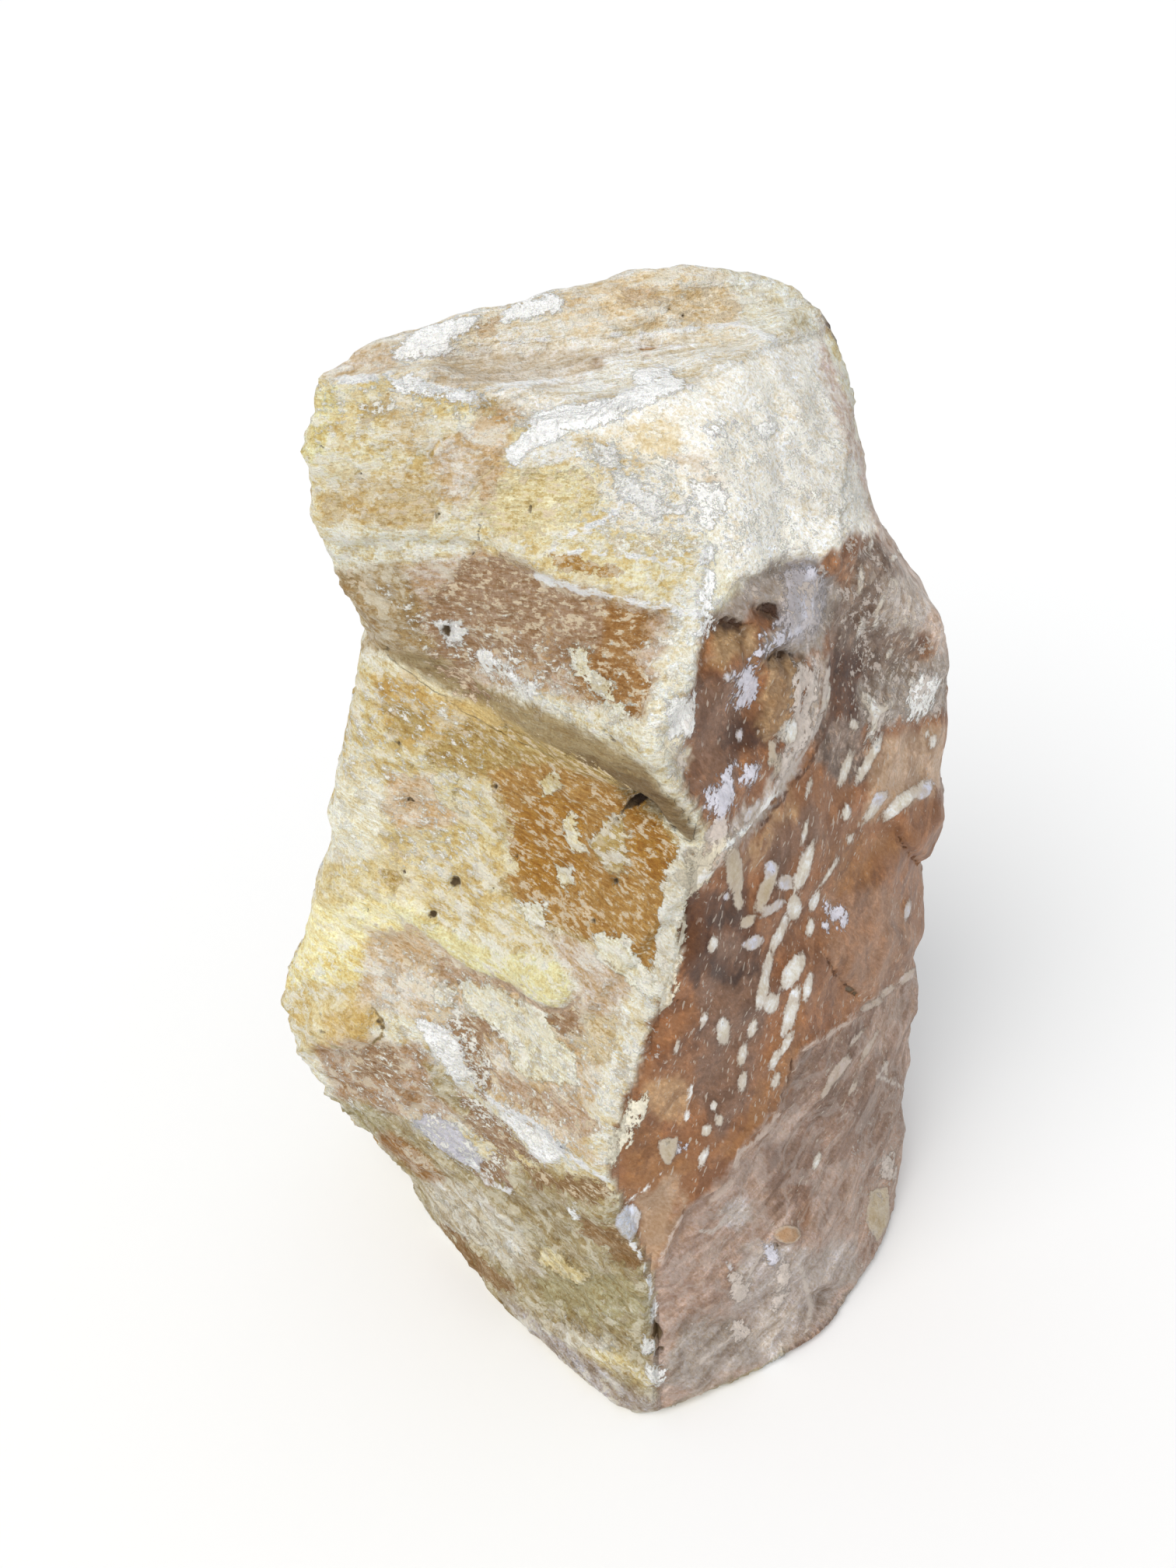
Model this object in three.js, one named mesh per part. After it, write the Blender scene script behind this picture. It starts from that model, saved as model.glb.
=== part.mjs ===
// A rough, upright block of honeycomb calcite, broken from a vein and standing on its flat foot.
// Millimetres, +Z up, +Y to the rear. The origin is the middle of the foot's outline, on the floor.
//
// The fibres of the vein run level, from the front corner to the left corner. The left face is broken
// along them, so that it steps in and out in level ribs. The right face is broken across them.
import * as THREE from "three";
import { ImprovedNoise } from "three/addons/math/ImprovedNoise.js";

// The corners of the block and the lines down its faces, each a spine of points from the foot up.
// Every spine has the same order of points: foot, lower taper, under-rib, lower rib, broad rib,
// hollow, groove, overhang, shoulder, upper face, rim, crown. The spines follow each other
// anticlockwise seen from above, starting at the front corner.
const SPINES = {
  frontCorner: [
    [6, -57, 0], [10, -54, 19], [7, -52, 47], [0, -54, 75], [10, -49, 115], [12, -45, 131],
    [13, -44, 142], [6, -50, 163], [12, -41, 178], [13, -32, 186], [13, -14, 200], [10, -8, 200],
  ],
  rightFaceFront: [
    [25, -50, 0], [24, -47, 17], [24, -45, 41], [23, -42, 65], [26, -36, 97], [26, -33, 120],
    [27, -31, 137], [27, -29, 151], [24, -33, 173], [25, -27, 180], [23, -1, 201], [17, 1, 201],
  ],
  rightFaceRear: [
    [46, -38, 0], [44, -33, 15], [44, -29, 35], [45, -23, 54], [45, -17, 86], [44, -15, 110],
    [44, -13, 127], [43, -12, 145], [38, -15, 165], [37, -18, 180], [32, 14, 201], [24, 10, 202],
  ],
  rightCorner: [
    [65, -6, 0], [66, 2, 13], [66, 7, 29], [66, 9, 47], [65, 12, 69], [63, 12, 90],
    [65, 12, 103], [62, 10, 130], [60, 6, 148], [45, 2, 168], [35, 17, 200], [26, 13, 202],
  ],
  rearRight: [
    [50, 34, 0], [53, 36, 15], [54, 38, 32], [54, 40, 50], [53, 41, 75], [51, 41, 95],
    [52, 40, 112], [50, 38, 132], [46, 36, 150], [35, 27, 177], [28, 21, 204], [19, 14, 203],
  ],
  rear: [
    [6, 46, 0], [6, 50, 18], [4, 53, 35], [2, 55, 55], [0, 54, 80], [0, 50, 105],
    [1, 46, 130], [2, 44, 148], [2, 42, 165], [3, 36, 185], [6, 16, 207], [3, 9, 204],
  ],
  rearLeft: [
    [-34, 32, 0], [-38, 35, 14], [-45, 36, 33], [-48, 36, 55], [-47, 35, 75], [-43, 34, 109],
    [-38, 34, 140], [-37, 32, 152], [-38, 30, 163], [-39, 24, 183], [-28, 7, 201], [-22, 4, 200],
  ],
  leftCorner: [
    [-43, -1, 0], [-45, 0, 11], [-59, -1, 36], [-65, -2, 62], [-58, 1, 83], [-51, 3, 112],
    [-44, 5, 146], [-44, 3, 155], [-47, 0, 165], [-49, -2, 184], [-46, 0, 196], [-36, 1, 197],
  ],
  leftFaceRear: [
    [-23, -29, 0], [-25, -26, 16], [-26, -27, 38], [-27, -29, 73], [-26, -20, 96], [-27, -13, 120],
    [-24, -12, 146], [-24, -16, 153], [-23, -17, 177], [-23, -14, 189], [-22, -9, 199], [-20, -4, 198],
  ],
  leftFaceFront: [
    [-7, -48, 0], [-5, -46, 20], [-3, -45, 42], [-9, -47, 72], [-6, -37, 106], [-6, -31, 123],
    [-6, -29, 145], [-6, -36, 157], [-5, -31, 179], [-6, -22, 188], [-4, -15, 199], [-4, -8, 198],
  ],
};
const CROWN = new THREE.Vector3(-4, 1, 200);

const ROWS_PER_POINT = 5;
const COLUMNS_PER_SPINE = 7;
const CROWN_ROWS = 3;
const TAUTNESS = 0.3;

// How deep the broken surface goes in and out: level ribs, hand-sized scars and small chips.
const RIB = { depth: 1.5, across: 50, up: 9 };
const SCAR = { depth: 1.4, across: 19, up: 19 };
const CHIP = { depth: 1.0, across: 8, up: 7 };
const FOOT_BLEND = 9;

const noise = new ImprovedNoise();

function wave(point, { depth, across, up }) {
  return depth * noise.noise(point.x / across, point.y / across, point.z / up);
}

// The broken surface fades out at the foot, which is flat.
function relief(point) {
  const roughness = wave(point, RIB) + wave(point, SCAR) + wave(point, CHIP);
  return roughness * THREE.MathUtils.smoothstep(point.z, 0, FOOT_BLEND);
}

function smoothLine(points, closed) {
  return new THREE.CatmullRomCurve3(points, closed, "catmullrom", TAUTNESS);
}

// One closed ring of points round the block for each row, from the foot to the crown and in over it.
function rings() {
  const spines = Object.values(SPINES).map((spine) => spine.map((p) => new THREE.Vector3(...p)));
  const spans = (spines[0].length - 1) * ROWS_PER_POINT;
  const columns = spines.length * COLUMNS_PER_SPINE;
  const lines = spines.map((spine) => smoothLine(spine, false));
  const sides = Array.from({ length: spans + 1 }, (_, row) => {
    const ring = smoothLine(lines.map((line) => line.getPoint(row / spans)), true);
    return Array.from({ length: columns }, (_, column) => ring.getPoint(column / columns));
  });
  const over = Array.from({ length: CROWN_ROWS - 1 }, (_, row) =>
    sides[spans].map((point) => point.clone().lerp(CROWN, (row + 1) / CROWN_ROWS)));
  return [...sides, ...over];
}

// The closed skin: a net of rings, with a fan under the foot and a fan over the crown.
function skin() {
  const net = rings();
  const rows = net.length;
  const columns = net[0].length;
  const points = [...net.flat(), new THREE.Vector3(0, 0, 0), CROWN];
  const foot = rows * columns;
  const crown = foot + 1;
  const at = (row, column) => row * columns + (column % columns);
  const faces = [];
  for (let column = 0; column < columns; column += 1) {
    faces.push(foot, at(0, column + 1), at(0, column));
    faces.push(crown, at(rows - 1, column), at(rows - 1, column + 1));
    for (let row = 0; row < rows - 1; row += 1) {
      const [a, b] = [at(row, column), at(row, column + 1)];
      const [c, d] = [at(row + 1, column + 1), at(row + 1, column)];
      faces.push(a, b, c, a, c, d);
    }
  }
  return new THREE.BufferGeometry().setFromPoints(points).setIndex(faces);
}

// The same skin, pushed in and out along its own normals.
function roughen(geometry) {
  geometry.computeVertexNormals();
  const { position, normal } = geometry.attributes;
  const point = new THREE.Vector3();
  const outward = new THREE.Vector3();
  for (let i = 0; i < position.count; i += 1) {
    point.fromBufferAttribute(position, i);
    outward.fromBufferAttribute(normal, i);
    point.addScaledVector(outward, relief(point));
    position.setXYZ(i, point.x, point.y, point.z);
  }
  geometry.computeVertexNormals();
  return geometry;
}

// The origin goes to the middle of the whole outline, with the foot on the floor.
function settle(geometry) {
  geometry.computeBoundingBox();
  const middle = geometry.boundingBox.getCenter(new THREE.Vector3());
  return geometry.translate(-middle.x, -middle.y, -geometry.boundingBox.min.z);
}

const stone = new THREE.MeshStandardMaterial({ color: 0xdcc39a, roughness: 0.6, metalness: 0 });
const block = new THREE.Mesh(settle(roughen(skin())), stone);
block.name = "calcite_block";

const specimen = new THREE.Group();
specimen.add(block);
export default specimen;
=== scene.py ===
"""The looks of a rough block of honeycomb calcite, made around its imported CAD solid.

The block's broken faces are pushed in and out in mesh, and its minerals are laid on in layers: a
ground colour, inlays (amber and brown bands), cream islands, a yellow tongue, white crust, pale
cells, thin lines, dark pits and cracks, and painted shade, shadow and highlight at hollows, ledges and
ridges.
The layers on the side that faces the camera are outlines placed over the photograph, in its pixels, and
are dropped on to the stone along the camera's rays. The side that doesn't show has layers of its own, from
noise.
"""

import functools
import itertools
import math

import bmesh
import bpy
import numpy as np
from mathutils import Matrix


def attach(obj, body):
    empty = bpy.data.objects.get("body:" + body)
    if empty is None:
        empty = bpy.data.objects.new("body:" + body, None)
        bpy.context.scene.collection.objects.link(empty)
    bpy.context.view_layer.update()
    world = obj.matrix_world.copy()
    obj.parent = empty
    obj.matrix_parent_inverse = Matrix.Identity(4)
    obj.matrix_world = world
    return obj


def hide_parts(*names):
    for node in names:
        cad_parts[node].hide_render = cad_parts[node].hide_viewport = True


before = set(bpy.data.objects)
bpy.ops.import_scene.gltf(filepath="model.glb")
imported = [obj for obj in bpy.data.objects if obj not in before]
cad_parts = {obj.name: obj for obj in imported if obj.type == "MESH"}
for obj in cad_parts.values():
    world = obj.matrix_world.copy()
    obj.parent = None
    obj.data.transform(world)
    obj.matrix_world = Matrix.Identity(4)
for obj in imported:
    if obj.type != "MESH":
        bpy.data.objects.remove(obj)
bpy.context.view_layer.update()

NODE = "calcite_block"
MM = 0.001

# ---------------------------------------------------------------- camera

PHOTO_WIDTH, PHOTO_HEIGHT = 1512, 2016
FOCAL_PX = 2100.0
CAMERA_MM = np.array([-4.8, -235.4, 302.0])
CAMERA_PITCH = math.radians(38.0)
SENSOR_MM = 36.0
LOOK = np.array([0.0, math.cos(CAMERA_PITCH), -math.sin(CAMERA_PITCH)])
UP = np.array([0.0, math.sin(CAMERA_PITCH), math.cos(CAMERA_PITCH)])


def add_camera():
    """The photograph's camera: looking down at the block from in front."""
    data = bpy.data.cameras.new("camera")
    data.sensor_width = SENSOR_MM
    data.lens = FOCAL_PX * SENSOR_MM / PHOTO_HEIGHT
    camera = bpy.data.objects.new("camera", data)
    camera.location = CAMERA_MM * MM
    camera.rotation_euler = (math.pi / 2 - CAMERA_PITCH, 0, 0)
    bpy.context.scene.collection.objects.link(camera)
    bpy.context.scene.camera = camera


def photo_pixels(points):
    """Where points, in mm, lie in the photograph, and how many mm one of its pixels covers there."""
    offset = points - CAMERA_MM
    depth = offset @ LOOK
    across = PHOTO_WIDTH / 2 + FOCAL_PX * offset[:, 0] / depth
    down = PHOTO_HEIGHT / 2 - FOCAL_PX * (offset @ UP) / depth
    return np.column_stack([across, down]), depth / FOCAL_PX


# ---------------------------------------------------------------- noise and shapes in numpy

NOISE_SLOPES = 256
NOISE_GAIN = 1.7
OCTAVE_SHARE = 0.55


def gradient_noise(points, seed):
    """Perlin noise, about -1 to 1, with points in cells and the usual fifth-power fade between them."""
    draw = np.random.default_rng(seed)
    shuffle = draw.permutation(NOISE_SLOPES)
    slopes = draw.normal(size=(NOISE_SLOPES, 3))
    slopes /= np.linalg.norm(slopes, axis=1, keepdims=True)
    low = np.floor(points)
    part = points - low
    low = low.astype(int)
    fade = part**3 * (part * (part * 6 - 15) + 10)
    total = np.zeros(len(points))
    for corner in itertools.product((0, 1), repeat=3):
        index = 0
        share = 1.0
        for axis, step in enumerate(corner):
            index = shuffle[(index + low[:, axis] + step) % NOISE_SLOPES]
            share = share * (fade[:, axis] if step else 1 - fade[:, axis])
        total += ((part - corner) * slopes[index]).sum(axis=1) * share
    return total * NOISE_GAIN


def fractal(points, size, octaves, seed):
    """Noise with its largest lumps size mm across, about -1 to 1."""
    total = np.zeros(len(points))
    reach = 0.0
    for octave in range(octaves):
        share = OCTAVE_SHARE**octave
        total += share * gradient_noise(points * (2.0**octave / size), seed + octave)
        reach += share
    return total / reach


def smooth_step(value, low, high):
    """From 0 at low to 1 at high, with soft ends."""
    t = np.clip((value - low) / (high - low), 0, 1)
    return t * t * (3 - 2 * t)


def blend(share, first, second):
    """From first to second by a share for each point."""
    return first + share * (second - first)


def blend_colours(share, first, second):
    """From the first colours to the second by a share for each point."""
    return blend(share[:, None], first, second)


def segment_distance(points, start, end):
    """How far each point is from a straight piece of line."""
    edge = np.subtract(end, start).astype(float)
    offset = points - np.array(start, float)
    along = np.clip(offset @ edge / (edge @ edge), 0, 1)
    return np.linalg.norm(offset - along[:, None] * edge, axis=1)


def line_distance(points, line):
    """How far each point is from a line of straight pieces."""
    return np.min([segment_distance(points, start, end) for start, end in zip(line, line[1:])], axis=0)


def outline_depth(points, outline):
    """How far inside a closed outline each point is; negative outside."""
    closed = outline + outline[:1]
    nearest = line_distance(points, closed)
    across, down = points.T
    inside = np.zeros(len(points), bool)
    for start, end in zip(closed, closed[1:]):
        spans = (start[1] > down) != (end[1] > down)
        rise = (end[1] - start[1]) or 1
        meet = start[0] + (down - start[1]) * (end[0] - start[0]) / rise
        inside ^= spans & (across < meet)
    return np.where(inside, nearest, -nearest)


def stroke_depth(points, width, line):
    """How far inside a brush stroke along a line each point is; negative outside."""
    return width / 2 - line_distance(points, line)


def spot_depth(points, x, y, length, width, lean):
    """How far inside an oval each point is. The oval stands upright at lean 0 and leans right by degrees."""
    angle = math.radians(lean)
    long_way = np.array([math.sin(angle), -math.cos(angle)])
    short_way = np.array([math.cos(angle), math.sin(angle)])
    offset = points - (x, y)
    reach = np.hypot(offset @ long_way / (length / 2), offset @ short_way / (width / 2))
    return (1 - reach) * width / 2


# ---------------------------------------------------------------- colours of the minerals


def srgb(red, green, blue):
    """A screen colour as the linear colour that Blender's sockets and attributes hold."""
    screen = np.array([red, green, blue]) / 255
    return np.where(screen > 0.04045, ((screen + 0.055) / 1.055) ** 2.4, screen / 12.92)


COLOURS = {
    "cream": srgb(232, 226, 200),
    "pale_cream": srgb(238, 234, 216),
    "top_cream": srgb(241, 232, 214),
    "butter": srgb(243, 232, 178),
    "lemon": srgb(232, 223, 172),
    "yellow": srgb(231, 218, 176),
    "window": srgb(223, 210, 166),
    "ochre": srgb(212, 190, 144),
    "pale_ochre": srgb(222, 206, 172),
    "amber": srgb(182, 140, 76),
    "deep_amber": srgb(176, 128, 52),
    "honey": srgb(208, 178, 114),
    "pink_tan": srgb(220, 202, 178),
    "warm_tan": srgb(218, 192, 158),
    "band_brown": srgb(166, 123, 72),
    "mauve_brown": srgb(169, 139, 111),
    "rose_brown": srgb(197, 171, 146),
    "band_tan": srgb(177, 153, 112),
    "trough": srgb(212, 198, 178),
    "trough_brown": srgb(192, 172, 150),
    # Olive-brown darkened with painted shade, for the undercut groove and a fold, then the groove's deepest
    # painted shade.
    "groove": srgb(158, 136, 94),
    "groove_deep_shade": srgb(120, 96, 60),
    "olive": srgb(176, 160, 122),
    "dark_olive": srgb(176, 164, 124),
    "olive_tan": srgb(204, 194, 172),
    "straw": srgb(221, 205, 156),
    "brown_strip": srgb(150, 118, 78),
    "white": srgb(252, 252, 250),
    "grey_white": srgb(238, 237, 233),
    "rim": srgb(226, 219, 198),
    "chalk": srgb(203, 201, 210),
    "dull_chalk": srgb(168, 162, 164),
    "brown": srgb(144, 98, 62),
    "orange_brown": srgb(150, 104, 62),
    "dark_brown": srgb(94, 58, 32),
    "deep_brown": srgb(78, 52, 36),
    "plum": srgb(127, 94, 72),
    "orange_tan": srgb(182, 144, 104),
    "peach": srgb(241, 222, 190),
    "sand": srgb(222, 204, 154),
    "rosy": srgb(184, 154, 126),
    "bone": srgb(241, 237, 226),
    "bone_grey": srgb(222, 217, 206),
    "ice": srgb(224, 226, 234),
    "tongue_tan": srgb(166, 136, 100),
    "tongue_brown": srgb(152, 118, 78),
    "pebble": srgb(178, 142, 108),
    "tan_brown": srgb(150, 112, 84),
    "grey_plum": srgb(132, 112, 98),
    "island_tan": srgb(188, 162, 102),
    "rose_pale": srgb(210, 190, 168),
    "mauve": srgb(168, 142, 126),
    "mauve_grey": srgb(160, 148, 138),
    "mauve_pale": srgb(196, 184, 174),
    "mauve_dark": srgb(142, 116, 100),
    "mauve_soft": srgb(178, 166, 158),
    "olive_brown": srgb(142, 126, 104),
    # Painted shade inside the small hollows near the top of the brown face.
    "pocket_shade": srgb(82, 58, 36),
    "cell": srgb(228, 224, 214),
    "cell_tan": srgb(194, 178, 152),
    "strip": srgb(198, 178, 164),
    "pit": srgb(100, 82, 56),
    # Painted shade in the deep hollow at the groove's right end.
    "hole_shade": srgb(50, 34, 20),
}

# ---------------------------------------------------------------- layers on the side that shows

# Areas of ground colour: colour, softness of the edge in mm, outline. Later ones lie on top.
GROUND = [
    ("top_cream", 2.0, [(395, 480), (470, 430), (600, 385), (700, 355), (870, 320), (1045, 365),
        (1075, 400), (1055, 440), (1000, 440), (870, 505), (805, 520), (680, 545), (614, 511), (534, 490),
        (440, 490)]),
    ("trough", 1.0, [(553, 503), (546, 480), (560, 456), (600, 449), (700, 449), (810, 446), (850, 438),
        (884, 446), (882, 462), (845, 478), (800, 497), (760, 490), (700, 492), (640, 501), (590, 505)]),
    ("trough_brown", 1.0, [(756, 458), (800, 452), (830, 446), (850, 452), (832, 478), (806, 494),
        (774, 490)]),
    ("peach", 2.0, [(700, 400), (765, 366), (850, 345), (935, 352), (962, 400), (905, 414), (850, 418),
        (790, 420), (745, 430)]),
    ("pale_cream", 1.5, [(905, 335), (1045, 370), (1055, 430), (960, 430), (950, 400), (960, 380)]),
    ("pink_tan", 2.0, [(395, 490), (440, 450), (500, 440), (520, 470), (480, 486)]),
    ("lemon", 2.5, [(380, 495), (500, 490), (560, 520), (500, 600), (450, 705), (380, 660)]),
    ("yellow", 2.5, [(450, 495), (500, 490), (625, 520), (645, 600), (625, 690), (450, 705), (380, 660)]),
    ("ochre", 1.2, [(455, 612), (540, 600), (562, 640), (556, 678), (500, 682), (450, 668), (412, 672),
        (405, 640)]),
    ("pale_ochre", 1.5, [(490, 500), (560, 520), (556, 560), (520, 590), (500, 560)]),
    ("pink_tan", 1.5, [(552, 565), (622, 548), (632, 620), (600, 652), (560, 640)]),
    ("warm_tan", 1.2, [(608, 516), (662, 512), (676, 535), (652, 560), (652, 600), (640, 645), (618, 640),
        (625, 590), (610, 560)]),
    ("cream", 1.2, [(400, 672), (500, 678), (620, 690), (640, 705), (500, 712), (425, 705)]),
    ("bone", 2.0, [(800, 450), (1000, 440), (1055, 430), (1110, 600), (1160, 700), (1060, 720), (920, 700),
        (780, 690), (660, 600), (690, 550)]),
    ("bone_grey", 2.5, [(1000, 450), (1062, 440), (1130, 650), (1050, 670), (990, 640), (975, 600),
        (1020, 560)]),
    ("bone", 2.0, [(930, 650), (1010, 640), (1090, 700), (1000, 730), (950, 750), (915, 700)]),
    ("pale_ochre", 2.0, [(770, 560), (840, 530), (880, 550), (860, 600), (820, 600)]),
    ("trough", 1.0, [(846, 580), (905, 585), (940, 610), (925, 640), (900, 610), (860, 600)]),
    ("yellow", 1.5, [(620, 640), (650, 600), (760, 596), (790, 640), (770, 680), (890, 690), (895, 780),
        (800, 770), (700, 745), (630, 705)]),
    ("pale_cream", 2.0, [(860, 780), (890, 700), (915, 670), (920, 760), (905, 860), (890, 960), (850, 960),
        (820, 925), (850, 880)]),
    ("band_tan", 2.0, [(425, 735), (520, 725), (560, 790), (620, 890), (520, 850), (440, 830)]),
    ("rose_brown", 2.0, [(520, 730), (620, 705), (700, 740), (860, 785), (850, 860), (820, 925), (700, 890),
        (620, 880), (560, 830)]),
    # The undercut groove under the brown band: olive-brown fibres with painted shade, deepest toward its
    # right end.
    ("groove", 1.0, [(480, 834), (560, 846), (620, 880), (700, 912), (770, 948), (830, 985), (895, 1060),
        (885, 1080), (800, 1016), (740, 985), (650, 940), (600, 900), (520, 856)]),
    ("groove_deep_shade", 0.8, [(690, 960), (760, 975), (840, 1010), (895, 1062), (888, 1078), (840, 1040),
        (780, 1008)]),
    ("straw", 2.0, [(430, 845), (520, 860), (600, 910), (660, 960), (650, 1100), (640, 1180), (560, 1190),
        (380, 1290), (350, 1260), (420, 1080)]),
    ("cream", 2.5, [(400, 1000), (470, 960), (500, 1040), (480, 1100), (400, 1110)]),
    ("honey", 1.5, [(480, 870), (530, 862), (568, 905), (556, 955), (520, 960), (490, 930)]),
    ("honey", 2.5, [(540, 890), (620, 905), (700, 960), (790, 1010), (700, 1020), (600, 995), (540, 940)]),
    ("warm_tan", 1.2, [(500, 1000), (560, 995), (600, 1050), (560, 1070), (510, 1065), (490, 1040)]),
    ("sand", 2.5, [(500, 1085), (640, 1090), (650, 1150), (600, 1180), (500, 1160), (480, 1130)]),
    ("butter", 2.5, [(470, 1150), (540, 1160), (590, 1205), (560, 1215), (480, 1200), (390, 1280),
        (340, 1280), (400, 1180)]),
    ("sand", 1.5, [(540, 1140), (600, 1120), (640, 1140), (700, 1196), (724, 1240), (700, 1240),
        (640, 1210), (560, 1180)]),
    ("butter", 2.0, [(350, 1180), (430, 1160), (480, 1200), (470, 1270), (440, 1300), (400, 1310),
        (350, 1300)]),
    ("sand", 2.0, [(350, 1280), (400, 1262), (450, 1262), (486, 1290), (470, 1350), (400, 1350)]),
    ("honey", 1.5, [(416, 1312), (440, 1290), (480, 1288), (490, 1320), (470, 1346), (420, 1346)]),
    ("pink_tan", 2.0, [(470, 1195), (560, 1205), (640, 1255), (700, 1295), (760, 1292), (860, 1262),
        (856, 1320), (800, 1430), (790, 1510), (730, 1480), (640, 1425), (600, 1370), (530, 1310),
        (460, 1290)]),
    ("rose_pale", 0.8, [(690, 1190), (740, 1206), (800, 1240), (850, 1268), (820, 1310), (780, 1330),
        (730, 1320), (700, 1300), (738, 1290), (744, 1264), (722, 1232)]),
    ("pale_cream", 1.5, [(815, 1262), (860, 1262), (856, 1330), (805, 1435), (790, 1510), (750, 1470),
        (770, 1380), (790, 1310)]),
    ("rim", 1.5, [(892, 1080), (915, 1110), (885, 1150), (872, 1230), (855, 1320), (800, 1435), (788, 1512),
        (766, 1480), (780, 1410), (820, 1310), (838, 1230), (850, 1160), (862, 1110)]),
    ("rosy", 2.0, [(400, 1345), (470, 1335), (540, 1340), (590, 1400), (600, 1440), (440, 1430)]),
    ("olive", 2.5, [(400, 1400), (520, 1440), (620, 1505), (700, 1500), (790, 1540), (840, 1640),
        (850, 1790), (825, 1850), (500, 1560)]),
    ("olive", 1.5, [(545, 1360), (580, 1380), (620, 1430), (600, 1440), (550, 1400)]),
    ("band_brown", 1.2, [(430, 1410), (480, 1440), (540, 1480), (590, 1530), (560, 1530), (500, 1480),
        (440, 1440)]),
    ("dark_olive", 2.0, [(424, 1415), (474, 1418), (504, 1450), (480, 1466), (440, 1442)]),
    ("olive", 1.5, [(620, 1500), (680, 1510), (720, 1540), (730, 1560), (660, 1560), (620, 1530)]),
    ("olive_tan", 2.0, [(540, 1520), (600, 1520), (660, 1570), (700, 1640), (640, 1620), (570, 1580)]),
    ("dark_olive", 2.0, [(690, 1640), (760, 1630), (840, 1660), (842, 1700), (780, 1710), (700, 1680)]),
    ("straw", 1.2, [(700, 1700), (760, 1720), (850, 1775), (840, 1785), (790, 1765), (700, 1715)]),
    ("mauve_soft", 2.0, [(640, 1660), (740, 1730), (800, 1780), (850, 1800), (820, 1840), (720, 1770)]),
    # the brown face, right of the front corner
    ("brown", 0.5, [(905, 800), (1100, 690), (1300, 700), (1300, 1700), (850, 1850), (845, 1790),
        (838, 1640), (785, 1510), (800, 1430), (868, 1235), (893, 1112), (905, 1060), (850, 950),
        (895, 880)]),
    ("mauve_grey", 1.2, [(915, 800), (935, 770), (955, 743), (985, 728), (1030, 704), (1062, 735),
        (1088, 765), (1076, 800), (1058, 830), (1030, 845), (985, 850), (985, 828), (1000, 800),
        (1000, 780), (970, 778), (960, 800)]),
    ("plum", 1.2, [(890, 870), (950, 860), (960, 960), (930, 1040), (910, 1060), (885, 1000), (895, 940)]),
    ("tongue_brown", 0.8, [(914, 812), (958, 812), (958, 846), (935, 858), (908, 856)]),
    ("dark_brown", 1.5, [(935, 930), (965, 925), (984, 955), (960, 975), (930, 970)]),
    ("dull_chalk", 2.5, [(1006, 722), (1046, 716), (1062, 750), (1056, 800), (1040, 820), (1008, 832),
        (1000, 800), (1012, 760)]),
    ("tongue_tan", 0.8, [(957, 806), (978, 812), (980, 842), (962, 856)]),
    ("tongue_tan", 0.6, [(984, 848), (1008, 840), (1026, 846), (1030, 862), (1024, 900), (1012, 930),
        (996, 950), (972, 948), (968, 925), (978, 896), (984, 870)]),
    ("tongue_tan", 1.0, [(916, 812), (938, 804), (954, 812), (956, 832), (940, 850), (918, 850)]),
    # Painted shade in the three hollows over the tan tongues.
    ("pocket_shade", 0.6, [(916, 804), (936, 796), (956, 801), (963, 822), (956, 832), (944, 815), (928, 811)]),
    ("pocket_shade", 0.6, [(969, 780), (994, 774), (1003, 790), (1001, 812), (992, 812), (986, 794), (974, 790)]),
    ("pocket_shade", 0.6, [(984, 845), (1004, 837), (1028, 842), (1026, 848), (1005, 846), (986, 853)]),
    ("rim", 0.8, [(850, 930), (880, 920), (888, 960), (880, 1000), (892, 1046), (880, 1040), (860, 1000)]),
    ("mauve_pale", 1.0, [(862, 1105), (900, 1088), (940, 1060), (990, 1000), (1030, 930), (1050, 840),
        (1066, 840), (1050, 940), (1010, 1010), (950, 1090), (890, 1150), (870, 1150)]),
    ("strip", 1.0, [(1048, 395), (1120, 600), (1165, 700), (1240, 820), (1240, 860), (1200, 800),
        (1160, 740), (1128, 680), (1095, 600), (1062, 500)]),
    ("grey_plum", 1.5, [(1085, 720), (1125, 690), (1155, 720), (1185, 780), (1180, 850), (1130, 860),
        (1112, 940), (1120, 1000), (1080, 1010), (1045, 970), (1062, 900), (1070, 820)]),
    ("dark_brown", 2.0, [(1064, 836), (1106, 836), (1112, 880), (1098, 930), (1066, 926), (1060, 880)]),
    ("tan_brown", 1.0, [(1086, 702), (1098, 700), (1096, 760), (1086, 750)]),
    ("strip", 2.5, [(1160, 770), (1200, 790), (1236, 830), (1230, 890), (1190, 850)]),
    ("mauve_pale", 2.0, [(1130, 745), (1180, 740), (1206, 780), (1170, 812), (1134, 806)]),
    ("orange_brown", 1.5, [(1178, 812), (1196, 816), (1202, 856), (1186, 862)]),
    ("mauve_grey", 2.0, [(1100, 880), (1150, 850), (1230, 840), (1230, 910), (1150, 930), (1110, 930)]),
    ("orange_tan", 2.0, [(960, 1090), (1000, 1040), (1020, 1020), (1020, 1050), (985, 1090), (950, 1130)]),
    ("rosy", 2.5, [(1120, 950), (1220, 930), (1215, 1010), (1110, 1060)]),
    ("plum", 2.5, [(990, 1060), (1050, 1030), (1060, 1080), (1020, 1110), (1000, 1160), (985, 1140)]),
    ("orange_brown", 3.0, [(1060, 1080), (1150, 1070), (1180, 1120), (1165, 1180), (1080, 1180)]),
    ("dark_brown", 1.5, [(880, 1150), (960, 1140), (975, 1200), (975, 1290), (920, 1260), (870, 1250)]),
    ("plum", 2.0, [(900, 1260), (980, 1230), (985, 1300), (960, 1420), (925, 1470), (890, 1400)]),
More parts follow.
